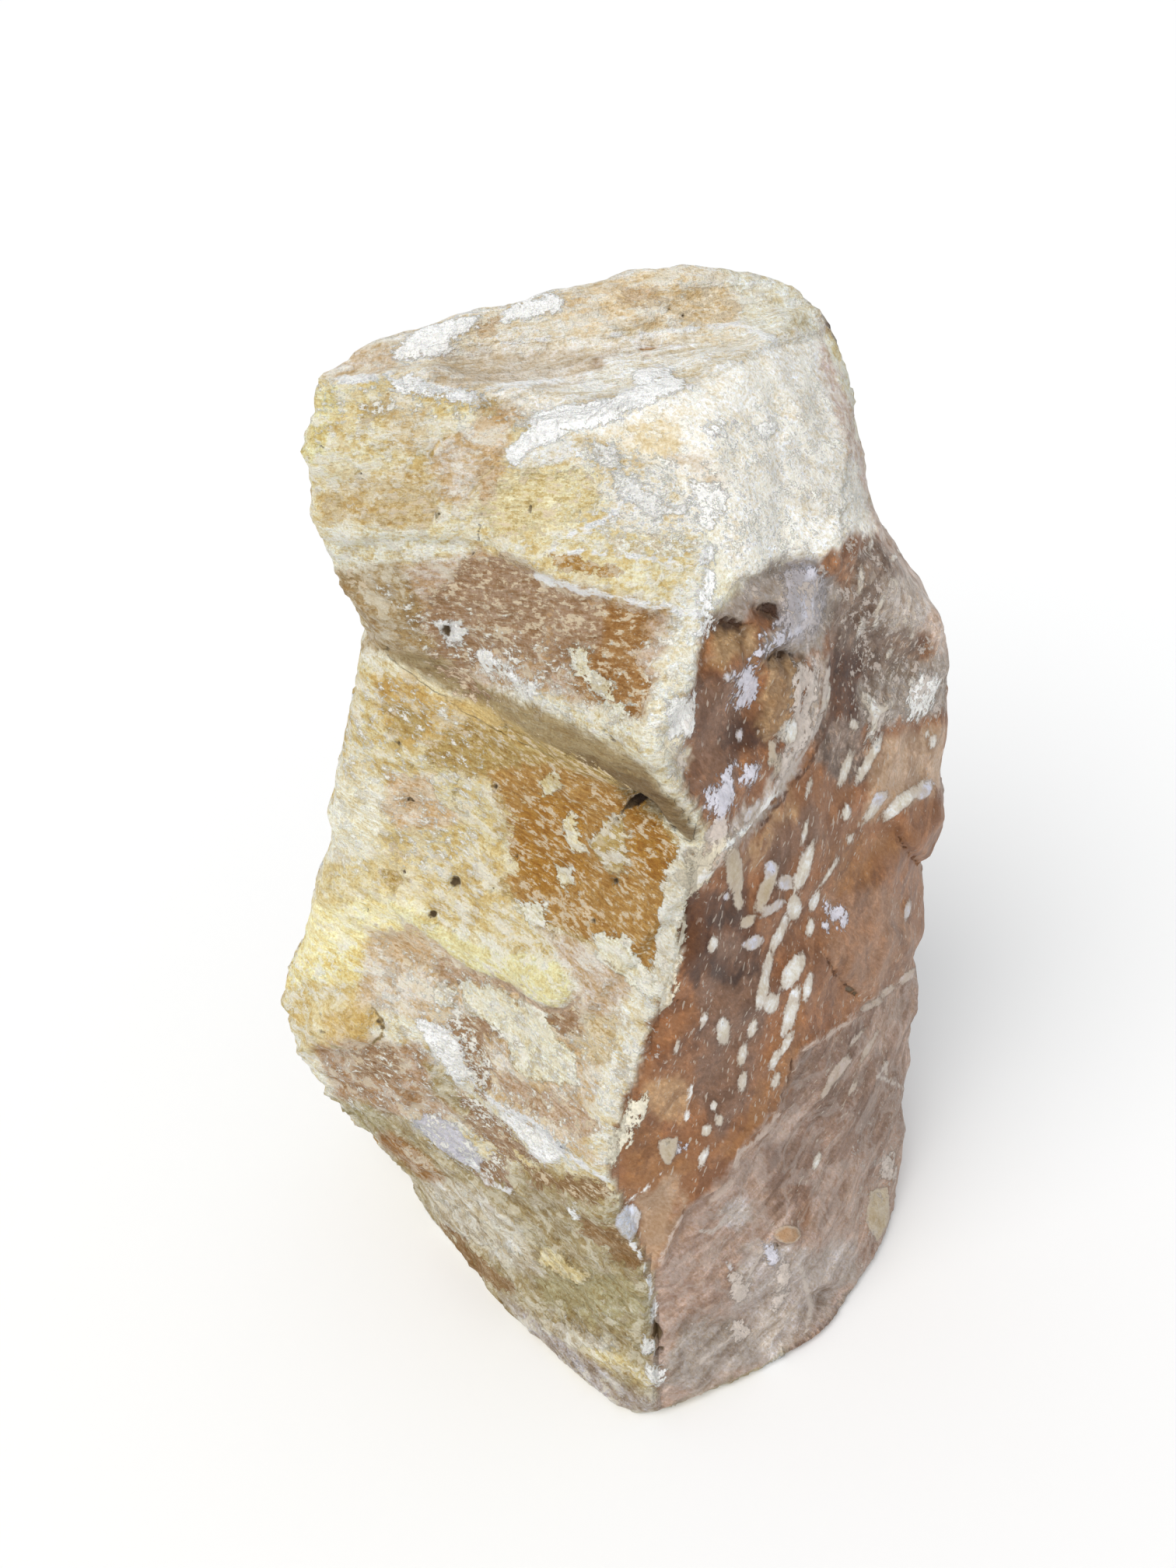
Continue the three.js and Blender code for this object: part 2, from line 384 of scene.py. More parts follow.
    ("deep_brown", 0.8, [(906, 1228), (930, 1246), (952, 1250), (972, 1236), (976, 1250), (950, 1266),
        (922, 1262)]),
    ("deep_brown", 0.8, [(884, 1252), (896, 1254), (908, 1270), (906, 1280), (892, 1272)]),
    ("deep_brown", 1.0, [(900, 1176), (940, 1168), (960, 1176), (930, 1190), (904, 1190)]),
    ("plum", 1.0, [(915, 1196), (945, 1194), (960, 1214), (940, 1234), (918, 1226)]),
    ("orange_brown", 2.0, [(1035, 1260), (1070, 1230), (1105, 1290), (1080, 1320), (1020, 1360),
        (990, 1430), (960, 1450), (985, 1370)]),
    ("brown", 3.0, [(1120, 1096), (1186, 1104), (1190, 1156), (1130, 1160)]),
    ("tan_brown", 1.2, [(1058, 1150), (1140, 1140), (1180, 1200), (1188, 1236), (1150, 1262), (1106, 1284),
        (1080, 1254), (1062, 1226)]),
    ("brown", 0.6, [(1046, 1232), (1062, 1228), (1082, 1262), (1104, 1290), (1092, 1314), (1040, 1342),
        (1024, 1350), (1030, 1300), (1040, 1262)]),
    ("orange_brown", 1.0, [(1024, 1350), (1018, 1392), (998, 1432), (950, 1480), (938, 1500), (930, 1480),
        (960, 1430), (990, 1370)]),
    ("orange_brown", 1.5, [(800, 1470), (850, 1440), (860, 1480), (900, 1500), (860, 1530), (800, 1540)]),
    ("orange_tan", 1.0, [(830, 1390), (875, 1385), (885, 1400), (872, 1440), (850, 1445), (832, 1420)]),
    ("mauve_brown", 1.5, [(820, 1540), (870, 1510), (880, 1540), (855, 1610), (838, 1640), (822, 1590)]),
    ("mauve", 0.4, [(1190, 1235), (1150, 1265), (1110, 1288), (1092, 1314), (1030, 1350), (1018, 1392),
        (998, 1432), (950, 1480), (938, 1512), (880, 1553), (862, 1600), (840, 1640), (846, 1800),
        (830, 1850), (1300, 1800), (1300, 1200)]),
    # Painted shadow on the mauve layer just under the raised edge of the brown face.
    ("mauve_dark", 1.5, [(1020, 1352), (1060, 1345), (1110, 1310), (1100, 1360), (1060, 1400),
        (1000, 1440)]),
    ("mauve_dark", 3.0, [(1050, 1400), (1160, 1340), (1160, 1450), (1080, 1500), (1020, 1480)]),
    ("tan_brown", 2.0, [(1030, 1520), (1042, 1530), (1044, 1570), (1034, 1592), (1026, 1560)]),
    ("mauve_soft", 2.0, [(926, 1544), (960, 1536), (968, 1560), (950, 1582), (926, 1576)]),
    ("mauve_dark", 3.0, [(985, 1470), (1060, 1450), (1040, 1530), (985, 1560)]),
    ("mauve_pale", 1.0, [(978, 1596), (1010, 1604), (1024, 1604), (1018, 1650), (1010, 1692), (1000, 1650),
        (960, 1660), (944, 1640), (962, 1618)]),
    ("mauve_soft", 4.0, [(960, 1600), (1040, 1610), (1030, 1700), (980, 1720), (940, 1680)]),
    ("mauve_grey", 3.0, [(870, 1700), (940, 1690), (1000, 1740), (900, 1790), (850, 1780)]),
    ("mauve_soft", 4.0, [(1010, 1620), (1100, 1590), (1106, 1640), (1040, 1720), (980, 1760), (966, 1700)]),
    ("mauve_pale", 3.0, [(972, 1690), (1020, 1680), (1030, 1720), (990, 1744), (966, 1730)]),
    ("olive_brown", 2.0, [(850, 1812), (920, 1782), (1000, 1754), (1060, 1704), (1110, 1656), (1130, 1700),
        (1000, 1800), (860, 1870)]),
]

# Areas broken up by blotches of dark and pale: how much, and outline.
MOTTLED = [
    (0.35, [(380, 480), (660, 500), (660, 700), (380, 700)]),
    (0.3, [(400, 480), (700, 340), (1060, 360), (1060, 440), (870, 510), (680, 550), (530, 490)]),
    (0.6, [(755, 455), (850, 445), (830, 485), (805, 497), (770, 492)]),
    (0.55, [(420, 700), (640, 690), (900, 780), (890, 960), (880, 1060), (700, 930), (440, 850)]),
    (0.4, [(400, 850), (640, 900), (880, 1080), (860, 1260), (690, 1200), (560, 1190), (400, 1200)]),
    (0.6, [(480, 1190), (640, 1250), (750, 1290), (860, 1250), (840, 1340), (770, 1460), (640, 1440),
        (380, 1440), (400, 1340), (470, 1300)]),
    (0.6, [(380, 1390), (560, 1430), (790, 1520), (850, 1640), (860, 1850), (640, 1750)]),
    (0.9, [(1060, 720), (1130, 680), (1165, 740), (1235, 810), (1220, 930), (1150, 930), (1110, 1000),
        (1060, 1010), (1035, 960), (1060, 880)]),
    (0.55, [(900, 720), (1080, 700), (1070, 900), (990, 1000), (900, 1080), (880, 900)]),
    (0.4, [(1190, 1235), (1092, 1314), (998, 1432), (862, 1600), (840, 1640), (830, 1850), (1300, 1850),
        (1300, 1200)]),
    (0.35, [(870, 1150), (1180, 1100), (1180, 1300), (800, 1540), (790, 1440)]),
]

# Areas without stains and crumbs: how clean, and outline.
CLEAN = [
    (0.9, [(470, 826), (560, 842), (640, 880), (740, 930), (830, 982), (902, 1062), (890, 1092),
        (800, 1022), (740, 992), (640, 946), (560, 896)]),
    (0.7, [(624, 645), (640, 618), (690, 606), (745, 600), (768, 620), (766, 652), (730, 676), (640, 690)]),
    (0.6, [(905, 790), (1060, 790), (1040, 960), (960, 1060), (900, 1040)]),
    (0.5, [(400, 1290), (440, 1280), (486, 1290), (490, 1330), (440, 1350), (400, 1340)]),
    (0.5, [(810, 840), (905, 800), (905, 900), (896, 980), (850, 970), (820, 930)]),
    (0.4, [(400, 1000), (480, 1000), (560, 1160), (480, 1200), (380, 1240), (380, 1100)]),
    (0.5, [(560, 500), (640, 440), (900, 425), (890, 470), (700, 500)]),
]

# Areas dusted with white crumbs: how densely, and outline.
DUSTED = [
    (0.9, [(596, 836), (640, 826), (704, 858), (724, 920), (690, 936), (640, 916), (600, 880)]),
    (0.5, [(440, 720), (620, 790), (760, 830), (830, 900), (840, 960), (700, 930), (560, 860)]),
    (0.8, [(820, 830), (900, 780), (905, 860), (896, 1000), (870, 1010), (820, 940)]),
    (0.9, [(524, 1296), (600, 1290), (650, 1400), (760, 1480), (740, 1510), (600, 1440)]),
    (0.8, [(500, 1410), (560, 1416), (650, 1470), (650, 1530), (560, 1490)]),
    (0.5, [(480, 1190), (640, 1250), (750, 1290), (860, 1250), (850, 1340), (780, 1500), (640, 1440),
        (400, 1440), (420, 1340), (470, 1300)]),
    (0.6, [(395, 480), (660, 500), (700, 570), (500, 540), (395, 560)]),
    (0.7, [(740, 560), (930, 590), (940, 720), (800, 700), (700, 660)]),
    (0.5, [(900, 560), (1060, 480), (1150, 690), (940, 760)]),
    (0.5, [(420, 870), (560, 860), (640, 940), (620, 1120), (420, 1140)]),
    (0.9, [(1004, 730), (1060, 730), (1076, 780), (1056, 846), (1010, 850), (1004, 800)]),
    (0.6, [(925, 770), (960, 740), (1010, 720), (1000, 775), (960, 790)]),
    (0.7, [(1060, 700), (1130, 680), (1180, 760), (1236, 850), (1226, 930), (1140, 930), (1090, 900)]),
    (0.4, [(1090, 1440), (1180, 1380), (1170, 1580), (1060, 1700), (1080, 1560)]),
]

# Crisp areas: layer, colour, outline. Noise makes their edges ragged, in the mesh and in the shader.
PATCHES = [
    # the crown
    ("inlay", "peach", [(860, 386), (900, 378), (948, 392), (945, 412), (900, 414), (868, 404)]),
    ("inlay", "warm_tan", [(796, 372), (840, 366), (850, 384), (800, 392)]),
    ("inlay", "warm_tan", [(606, 440), (612, 424), (640, 404), (652, 408), (634, 424), (618, 442)]),
    # the upper left face
    ("inlay", "ochre", [(466, 520), (494, 518), (494, 534), (468, 536)]),
    ("inlay", "ochre", [(610, 516), (640, 514), (636, 532), (612, 534)]),
    ("inlay", "ochre", [(408, 640), (440, 638), (448, 662), (410, 668)]),
    ("inlay", "ochre", [(500, 640), (560, 634), (556, 672), (520, 676), (465, 668)]),
    ("inlay", "warm_tan", [(612, 640), (626, 600), (646, 580), (650, 598), (634, 632), (616, 650)]),
    ("inlay", "window", [(624, 650), (640, 622), (690, 612), (740, 606), (764, 620), (766, 650), (730, 672),
        (690, 682), (636, 688)]),
    ("inlay", "pale_cream", [(780, 688), (840, 692), (892, 698), (892, 714), (840, 714), (785, 708)]),
    # the brown band
    ("inlay", "mauve_brown", [(572, 744), (606, 720), (640, 714), (690, 745), (704, 800), (690, 850),
        (640, 846), (620, 850), (590, 870), (556, 840), (536, 790)]),
    ("inlay", "band_brown", [(736, 764), (810, 782), (840, 790), (836, 812), (816, 842), (836, 880),
        (816, 925), (770, 905), (740, 890)]),
    ("inlay", "mauve_brown", [(698, 750), (740, 764), (776, 776), (770, 830), (730, 850), (700, 880),
        (700, 800)]),
    ("inlay", "amber", [(704, 712), (760, 720), (800, 736), (788, 746), (740, 740), (706, 732)]),
    ("inlay", "band_tan", [(425, 738), (460, 740), (470, 752), (440, 758)]),
    ("inlay", "mauve_brown", [(560, 850), (600, 866), (640, 905), (600, 890), (560, 862)]),
    # the yellow face under the groove
    ("inlay", "island_tan", [(500, 906), (540, 916), (552, 946), (520, 956), (498, 940)]),
    ("inlay", "island_tan", [(545, 960), (600, 930), (660, 935), (720, 965), (790, 1000), (850, 1052),
        (878, 1090), (868, 1160), (862, 1232), (845, 1262), (800, 1232), (700, 1192), (652, 1156),
        (640, 1126), (664, 1108), (662, 1080), (648, 1040), (622, 1002), (560, 990)]),
    ("inlay", "amber", [(620, 990), (700, 984), (790, 1010), (845, 1052), (872, 1092), (862, 1160),
        (858, 1226), (840, 1256), (800, 1228), (700, 1188), (654, 1152), (642, 1128), (668, 1108),
        (664, 1080), (650, 1040)]),
    ("inlay", "deep_amber", [(804, 1044), (846, 1060), (872, 1092), (864, 1130), (830, 1140), (810, 1100)]),
    ("inlay", "deep_amber", [(650, 1060), (700, 1020), (750, 1030), (750, 1090), (760, 1130), (700, 1150),
        (660, 1120)]),
    ("inlay", "warm_tan", [(518, 998), (545, 1002), (550, 1040), (526, 1046), (500, 1036), (516, 1020)]),
    ("inlay", "ochre", [(500, 1084), (518, 1090), (518, 1112), (504, 1110)]),
    ("inlay", "island_tan", [(486, 1118), (508, 1112), (520, 1132), (502, 1146)]),
    # the patchy lower face
    ("inlay", "warm_tan", [(490, 1200), (540, 1196), (560, 1226), (556, 1246), (520, 1240), (494, 1225)]),
    ("inlay", "rose_brown", [(560, 1230), (620, 1250), (680, 1270), (640, 1276), (560, 1262)]),
    ("inlay", "mauve_brown", [(452, 1350), (500, 1346), (520, 1372), (498, 1392), (460, 1384)]),
    ("inlay", "mauve_brown", [(570, 1312), (640, 1300), (650, 1326), (620, 1336), (636, 1378), (620, 1420),
        (590, 1366)]),
    ("inlay", "mauve_brown", [(676, 1296), (752, 1296), (744, 1330), (712, 1332)]),
    ("inlay", "rose_brown", [(636, 1376), (690, 1396), (750, 1424), (776, 1450), (740, 1462), (700, 1440),
        (652, 1416), (624, 1392)]),
    ("inlay", "pale_ochre", [(750, 1300), (800, 1310), (790, 1350), (770, 1370), (740, 1360)]),
    ("inlay", "mauve_brown", [(590, 1400), (640, 1436), (700, 1496), (640, 1490), (600, 1450)]),
    ("inlay", "brown_strip", [(664, 1492), (700, 1502), (770, 1516), (800, 1548), (770, 1552), (720, 1530),
        (690, 1526)]),
    ("inlay", "brown_strip", [(738, 1562), (790, 1578), (826, 1612), (836, 1644), (800, 1626),
        (756, 1592)]),
    ("inlay", "mauve_brown", [(600, 1480), (650, 1500), (660, 1530), (630, 1524), (604, 1500)]),
    ("inlay", "dark_olive", [(690, 1640), (740, 1650), (800, 1640), (830, 1670), (760, 1680), (700, 1670)]),
    ("inlay", "brown_strip", [(550, 1560), (600, 1600), (660, 1660), (640, 1660), (580, 1610)]),
    # cream islands left standing on the amber
    ("island", "straw", [(556, 1000), (574, 985), (590, 1004), (586, 1020), (600, 1046), (576, 1040),
        (558, 1020)]),
    ("island", "yellow", [(722, 1050), (736, 1046), (750, 1086), (752, 1106), (738, 1094), (726, 1076)]),
    ("island", "island_tan", [(772, 1056), (796, 1050), (808, 1070), (806, 1110), (794, 1136), (772, 1112),
        (758, 1088)]),
    ("island", "straw", [(698, 992), (722, 1000), (718, 1020), (694, 1026)]),
    ("island", "cream", [(650, 1158), (700, 1164), (700, 1190), (676, 1182)]),
    ("island", "cream", [(768, 1196), (800, 1204), (832, 1246), (846, 1282), (812, 1270), (762, 1222)]),
    ("island", "cream", [(712, 1112), (736, 1120), (740, 1150), (716, 1140)]),
    ("island", "rim", [(870, 1092), (893, 1106), (886, 1150), (872, 1232), (862, 1292), (850, 1300),
        (838, 1258), (843, 1200), (852, 1140), (858, 1108)]),
    ("island", "cream", [(730, 830), (752, 826), (760, 860), (790, 880), (796, 910), (760, 890),
        (742, 866)]),
    ("island", "cream", [(770, 900), (800, 905), (816, 925), (790, 930)]),
    ("island", "cream", [(590, 1260), (640, 1270), (700, 1300), (720, 1332), (744, 1350), (744, 1392),
        (700, 1396), (660, 1376), (650, 1330), (600, 1300)]),
    ("island", "pale_cream", [(560, 1262), (590, 1270), (580, 1300), (556, 1284)]),
    ("tongue", "lemon", [(500, 1158), (560, 1186), (610, 1210), (652, 1224), (690, 1226), (718, 1234),
        (738, 1262), (736, 1280), (716, 1294), (690, 1286), (662, 1266), (600, 1240), (560, 1206),
        (512, 1174)]),
    ("island", "olive_tan", [(560, 1540), (620, 1570), (660, 1610), (620, 1600), (570, 1570)]),
    ("island", "straw", [(700, 1600), (760, 1640), (740, 1650), (690, 1620)]),
    ("island", "olive_tan", [(690, 1690), (760, 1712), (800, 1740), (740, 1730), (700, 1712)]),
    # white crust
    ("crust", "white", [(504, 452), (545, 420), (602, 404), (618, 410), (592, 438), (560, 456),
        (510, 466)]),
    ("crust", "white", [(645, 400), (700, 376), (732, 380), (712, 402), (660, 416), (648, 414)]),
    ("crust", "white", [(480, 490), (530, 482), (560, 500), (624, 506), (612, 520), (560, 516),
        (505, 500)]),
    ("crust", "white", [(676, 546), (700, 530), (770, 516), (812, 500), (870, 482), (890, 500), (840, 518),
        (800, 536), (750, 548), (700, 566), (668, 590), (650, 608), (648, 590)]),
    ("crust", "grey_white", [(756, 560), (790, 574), (806, 606), (846, 644), (886, 652), (884, 664),
        (836, 662), (798, 640), (786, 606), (760, 584)]),
    ("crust", "white", [(810, 476), (850, 472), (872, 482), (840, 494), (812, 492)]),
    ("crust", "grey_white", [(880, 612), (912, 616), (936, 642), (922, 684), (906, 686), (892, 640)]),
    ("crust", "white", [(905, 540), (940, 545), (925, 560), (908, 558)]),
    ("crust", "grey_white", [(972, 546), (996, 540), (1000, 556), (978, 564)]),
    ("crust", "white", [(904, 700), (920, 702), (916, 780), (904, 830), (898, 800)]),
    ("crust", "white", [(612, 842), (634, 838), (644, 856), (630, 864)]),
    ("crust", "white", [(650, 856), (666, 858), (672, 876), (656, 874)]),
    ("crust", "white", [(678, 874), (690, 872), (698, 894), (684, 896)]),
    ("crust", "grey_white", [(560, 800), (590, 796), (600, 820), (575, 832)]),
    ("crust", "grey_white", [(858, 900), (888, 890), (892, 930), (872, 960), (856, 940)]),
    ("crust", "white", [(532, 1308), (564, 1308), (592, 1340), (606, 1390), (588, 1392), (558, 1356)]),
    ("crust", "white", [(640, 1428), (660, 1432), (690, 1446), (730, 1480), (720, 1496), (690, 1492),
        (664, 1462)]),
    ("crust", "chalk", [(530, 1440), (548, 1430), (580, 1442), (602, 1462), (622, 1490), (612, 1504),
        (570, 1480), (548, 1462)]),
    ("crust", "white", [(732, 1556), (738, 1548), (744, 1566), (736, 1566)]),
    ("crust", "grey_white", [(826, 1716), (840, 1720), (842, 1744), (828, 1740)]),
    ("crust", "grey_white", [(832, 1752), (856, 1762), (850, 1782), (836, 1776)]),
    # At the front apex the crust is olive tan: pale crust darkened with the painted shade of its crevices.
    ("crust", "olive_tan", [(896, 1094), (925, 1088), (930, 1104), (906, 1134), (890, 1150)]),
    ("crust", "olive_tan", [(880, 1098), (900, 1090), (938, 1078), (962, 1058), (930, 1096), (898, 1132),
        (884, 1152), (872, 1134)]),
    ("crust", "rim", [(832, 1402), (834, 1420), (800, 1484), (786, 1506), (780, 1480), (806, 1420)]),
    # pale mineral on the brown face
    ("crust", "mauve_pale", [(1024, 850), (1044, 854), (1052, 890), (1044, 932), (1030, 962), (1008, 970),
        (1000, 946), (1014, 926), (1020, 890)]),
    ("crust", "mauve_pale", [(1000, 968), (1018, 972), (1000, 1000), (990, 990)]),
    ("crust", "mauve_pale", [(1105, 902), (1142, 900), (1152, 914), (1132, 938), (1122, 952), (1114, 930)]),
    ("crust", "grey_white", [(1160, 905), (1180, 872), (1202, 862), (1206, 885), (1190, 915), (1168, 926)]),
    ("cell", "cell_tan", [(845, 1466), (872, 1460), (866, 1490), (856, 1500), (848, 1482)]),
    ("cell", "cell_tan", [(1118, 1530), (1142, 1526), (1144, 1570), (1128, 1598), (1112, 1570)]),
    ("crust", "chalk", [(950, 856), (970, 852), (970, 880), (962, 905), (950, 914), (940, 908),
        (946, 886)]),
    ("crust", "chalk", [(926, 990), (938, 984), (942, 1010), (940, 1036), (928, 1050), (912, 1046),
        (918, 1012)]),
    ("crust", "mauve_pale", [(910, 1050), (932, 1054), (936, 1072), (912, 1084), (902, 1072)]),
    ("crust", "chalk", [(956, 988), (974, 984), (974, 1000), (958, 1006)]),
    ("crust", "dull_chalk", [(1004, 742), (1034, 724), (1058, 748), (1054, 796), (1034, 816), (1010, 828),
        (1002, 800), (1012, 770)]),
    ("crust", "chalk", [(1030, 722), (1042, 724), (1050, 748), (1036, 744)]),
    ("crust", "chalk", [(1024, 770), (1044, 762), (1046, 790), (1030, 800)]),
    ("crust", "chalk", [(1000, 812), (1040, 800), (1030, 818), (996, 830), (976, 844), (972, 838)]),
    ("crust", "chalk", [(1062, 1162), (1070, 1172), (1082, 1164), (1090, 1176), (1078, 1188), (1066, 1184),
        (1062, 1194)]),
    ("cell", "ice", [(798, 1552), (816, 1548), (824, 1560), (819, 1584), (811, 1598), (798, 1588),
        (790, 1572)]),
    ("crust", "chalk", [(868, 1468), (887, 1475), (870, 1482)]),
    ("crust", "chalk", [(976, 1598), (998, 1602), (1002, 1622), (988, 1626), (978, 1612)]),
    ("crust", "mauve_pale", [(1000, 1616), (1012, 1626), (1012, 1660), (1000, 1690), (990, 1676),
        (1002, 1650)]),
    ("crust", "mauve_pale", [(936, 1640), (956, 1636), (962, 1660), (950, 1672), (940, 1664)]),
    ("crust", "mauve_pale", [(936, 1706), (958, 1700), (966, 1716), (944, 1728)]),
    ("crust", "mauve_pale", [(1126, 1490), (1148, 1484), (1150, 1520), (1134, 1520)]),
    # Painted shade filling the deep hollow at the groove's right end.
    ("dark", "hole_shade", [(804, 1018), (822, 1021), (838, 1031), (850, 1044), (842, 1050), (824, 1042),
        (808, 1034)]),
    # Dark crescents under the upper rims of the three hollows: painted shadow.
    ("dark", "deep_brown", [(924, 801), (934, 794), (950, 796), (958, 806), (956, 814), (946, 804),
        (936, 800)]),
    ("dark", "deep_brown", [(972, 782), (984, 775), (998, 778), (1003, 790), (1000, 800), (992, 788),
        (982, 784)]),
    ("dark", "pocket_shade", [(984, 847), (1004, 838), (1028, 844), (1020, 848), (1002, 845), (986, 852)]),
]

# Ovals: layer, colour, then x, y, length, width and lean of each.
SPOTS = [
    ("cell", "pebble", [
        (1013, 1587, 24, 34, 0),
    ]),
    ("cell", "strip", [
        (1118, 1292, 30, 9, 58), (1140, 1274, 24, 8, 52), (1168, 1254, 30, 10, 50), (1130, 1288, 14, 6, 40),
        (1078, 1376, 50, 13, 38), (1116, 1348, 56, 6, 28), (1104, 1330, 40, 5, 40), (1062, 1400, 24, 8, 30),
        (1138, 1372, 20, 5, 350), (1096, 1398, 26, 6, 30),
    ]),
    ("cell", "cell", [
        (1012, 940, 34, 22, 20), (966, 1042, 30, 10, 35), (1034, 1114, 66, 17, 20), (1021, 1166, 34, 18, 0),
        (1046, 1158, 30, 10, 20), (1041, 1192, 26, 11, 15), (1001, 1202, 58, 13, 25),
        (986, 1244, 42, 12, 15), (1019, 1248, 52, 22, 32), (1038, 1270, 36, 11, 12),
        (980, 1274, 52, 15, 12), (991, 1289, 28, 20, 10), (1016, 1300, 70, 16, 16), (930, 1326, 36, 18, 0),
        (967, 1322, 26, 10, 20), (1011, 1342, 40, 9, 30), (916, 1214, 22, 12, 20), (1116, 978, 72, 12, 28),
        (1086, 988, 52, 12, 20), (1088, 1044, 20, 11, 0), (1124, 1038, 50, 12, 38),
        (1160, 1030, 76, 17, 48), (1200, 952, 20, 10, 10), (1192, 944, 12, 6, 10), (1150, 800, 12, 6, 40),
        (1172, 816, 12, 7, 20), (1034, 1070, 30, 7, 10), (1066, 1122, 44, 7, 32), (1040, 1012, 30, 7, 12),
        (1060, 898, 46, 11, 14), (908, 1453, 17, 13, 30), (924, 1440, 16, 11, 10), (918, 1421, 12, 11, 0),
        (954, 1389, 28, 12, 5), (953, 1358, 30, 11, 10), (995, 1362, 28, 10, 22), (904, 1488, 28, 9, 15),
        (997, 1390, 24, 9, 25), (870, 1345, 22, 6, 15), (905, 1310, 26, 6, 15), (1092, 1078, 16, 8, 20),
        (1106, 748, 38, 9, 5), (1148, 750, 14, 12, 0), (1126, 800, 20, 8, 10), (1116, 904, 34, 16, 330),
        (1136, 908, 40, 12, 60), (1122, 930, 44, 10, 10), (1098, 932, 16, 12, 0), (1106, 806, 30, 9, 20),
        (1130, 780, 34, 7, 30), (1150, 716, 20, 7, 40), (1142, 840, 18, 8, 30), (1118, 700, 16, 7, 10),
        (1166, 800, 16, 8, 320), (1172, 876, 16, 8, 30), (1146, 870, 12, 7, 20), (1050, 1492, 26, 8, 20),
    ]),
    ("cell", "cell_tan", [
        (944, 1118, 64, 22, 355), (948, 1156, 26, 12, 350), (985, 1142, 66, 17, 24), (992, 966, 40, 10, 5),
        (997, 985, 30, 8, 10), (960, 1185, 22, 14, 60),
    ]),
    ("cell", "chalk", [
        (990, 1116, 20, 17, 0), (1010, 1134, 22, 18, 30), (992, 1168, 40, 12, 55), (968, 1212, 28, 17, 60),
        (934, 1152, 9, 9, 0), (934, 872, 18, 8, 25), (966, 1042, 34, 11, 40), (1188, 1016, 32, 15, 40),
        (1132, 1026, 24, 14, 40), (950, 945, 14, 8, 0), (938, 1628, 16, 7, 330), (1166, 1170, 26, 9, 10),
    ]),
]

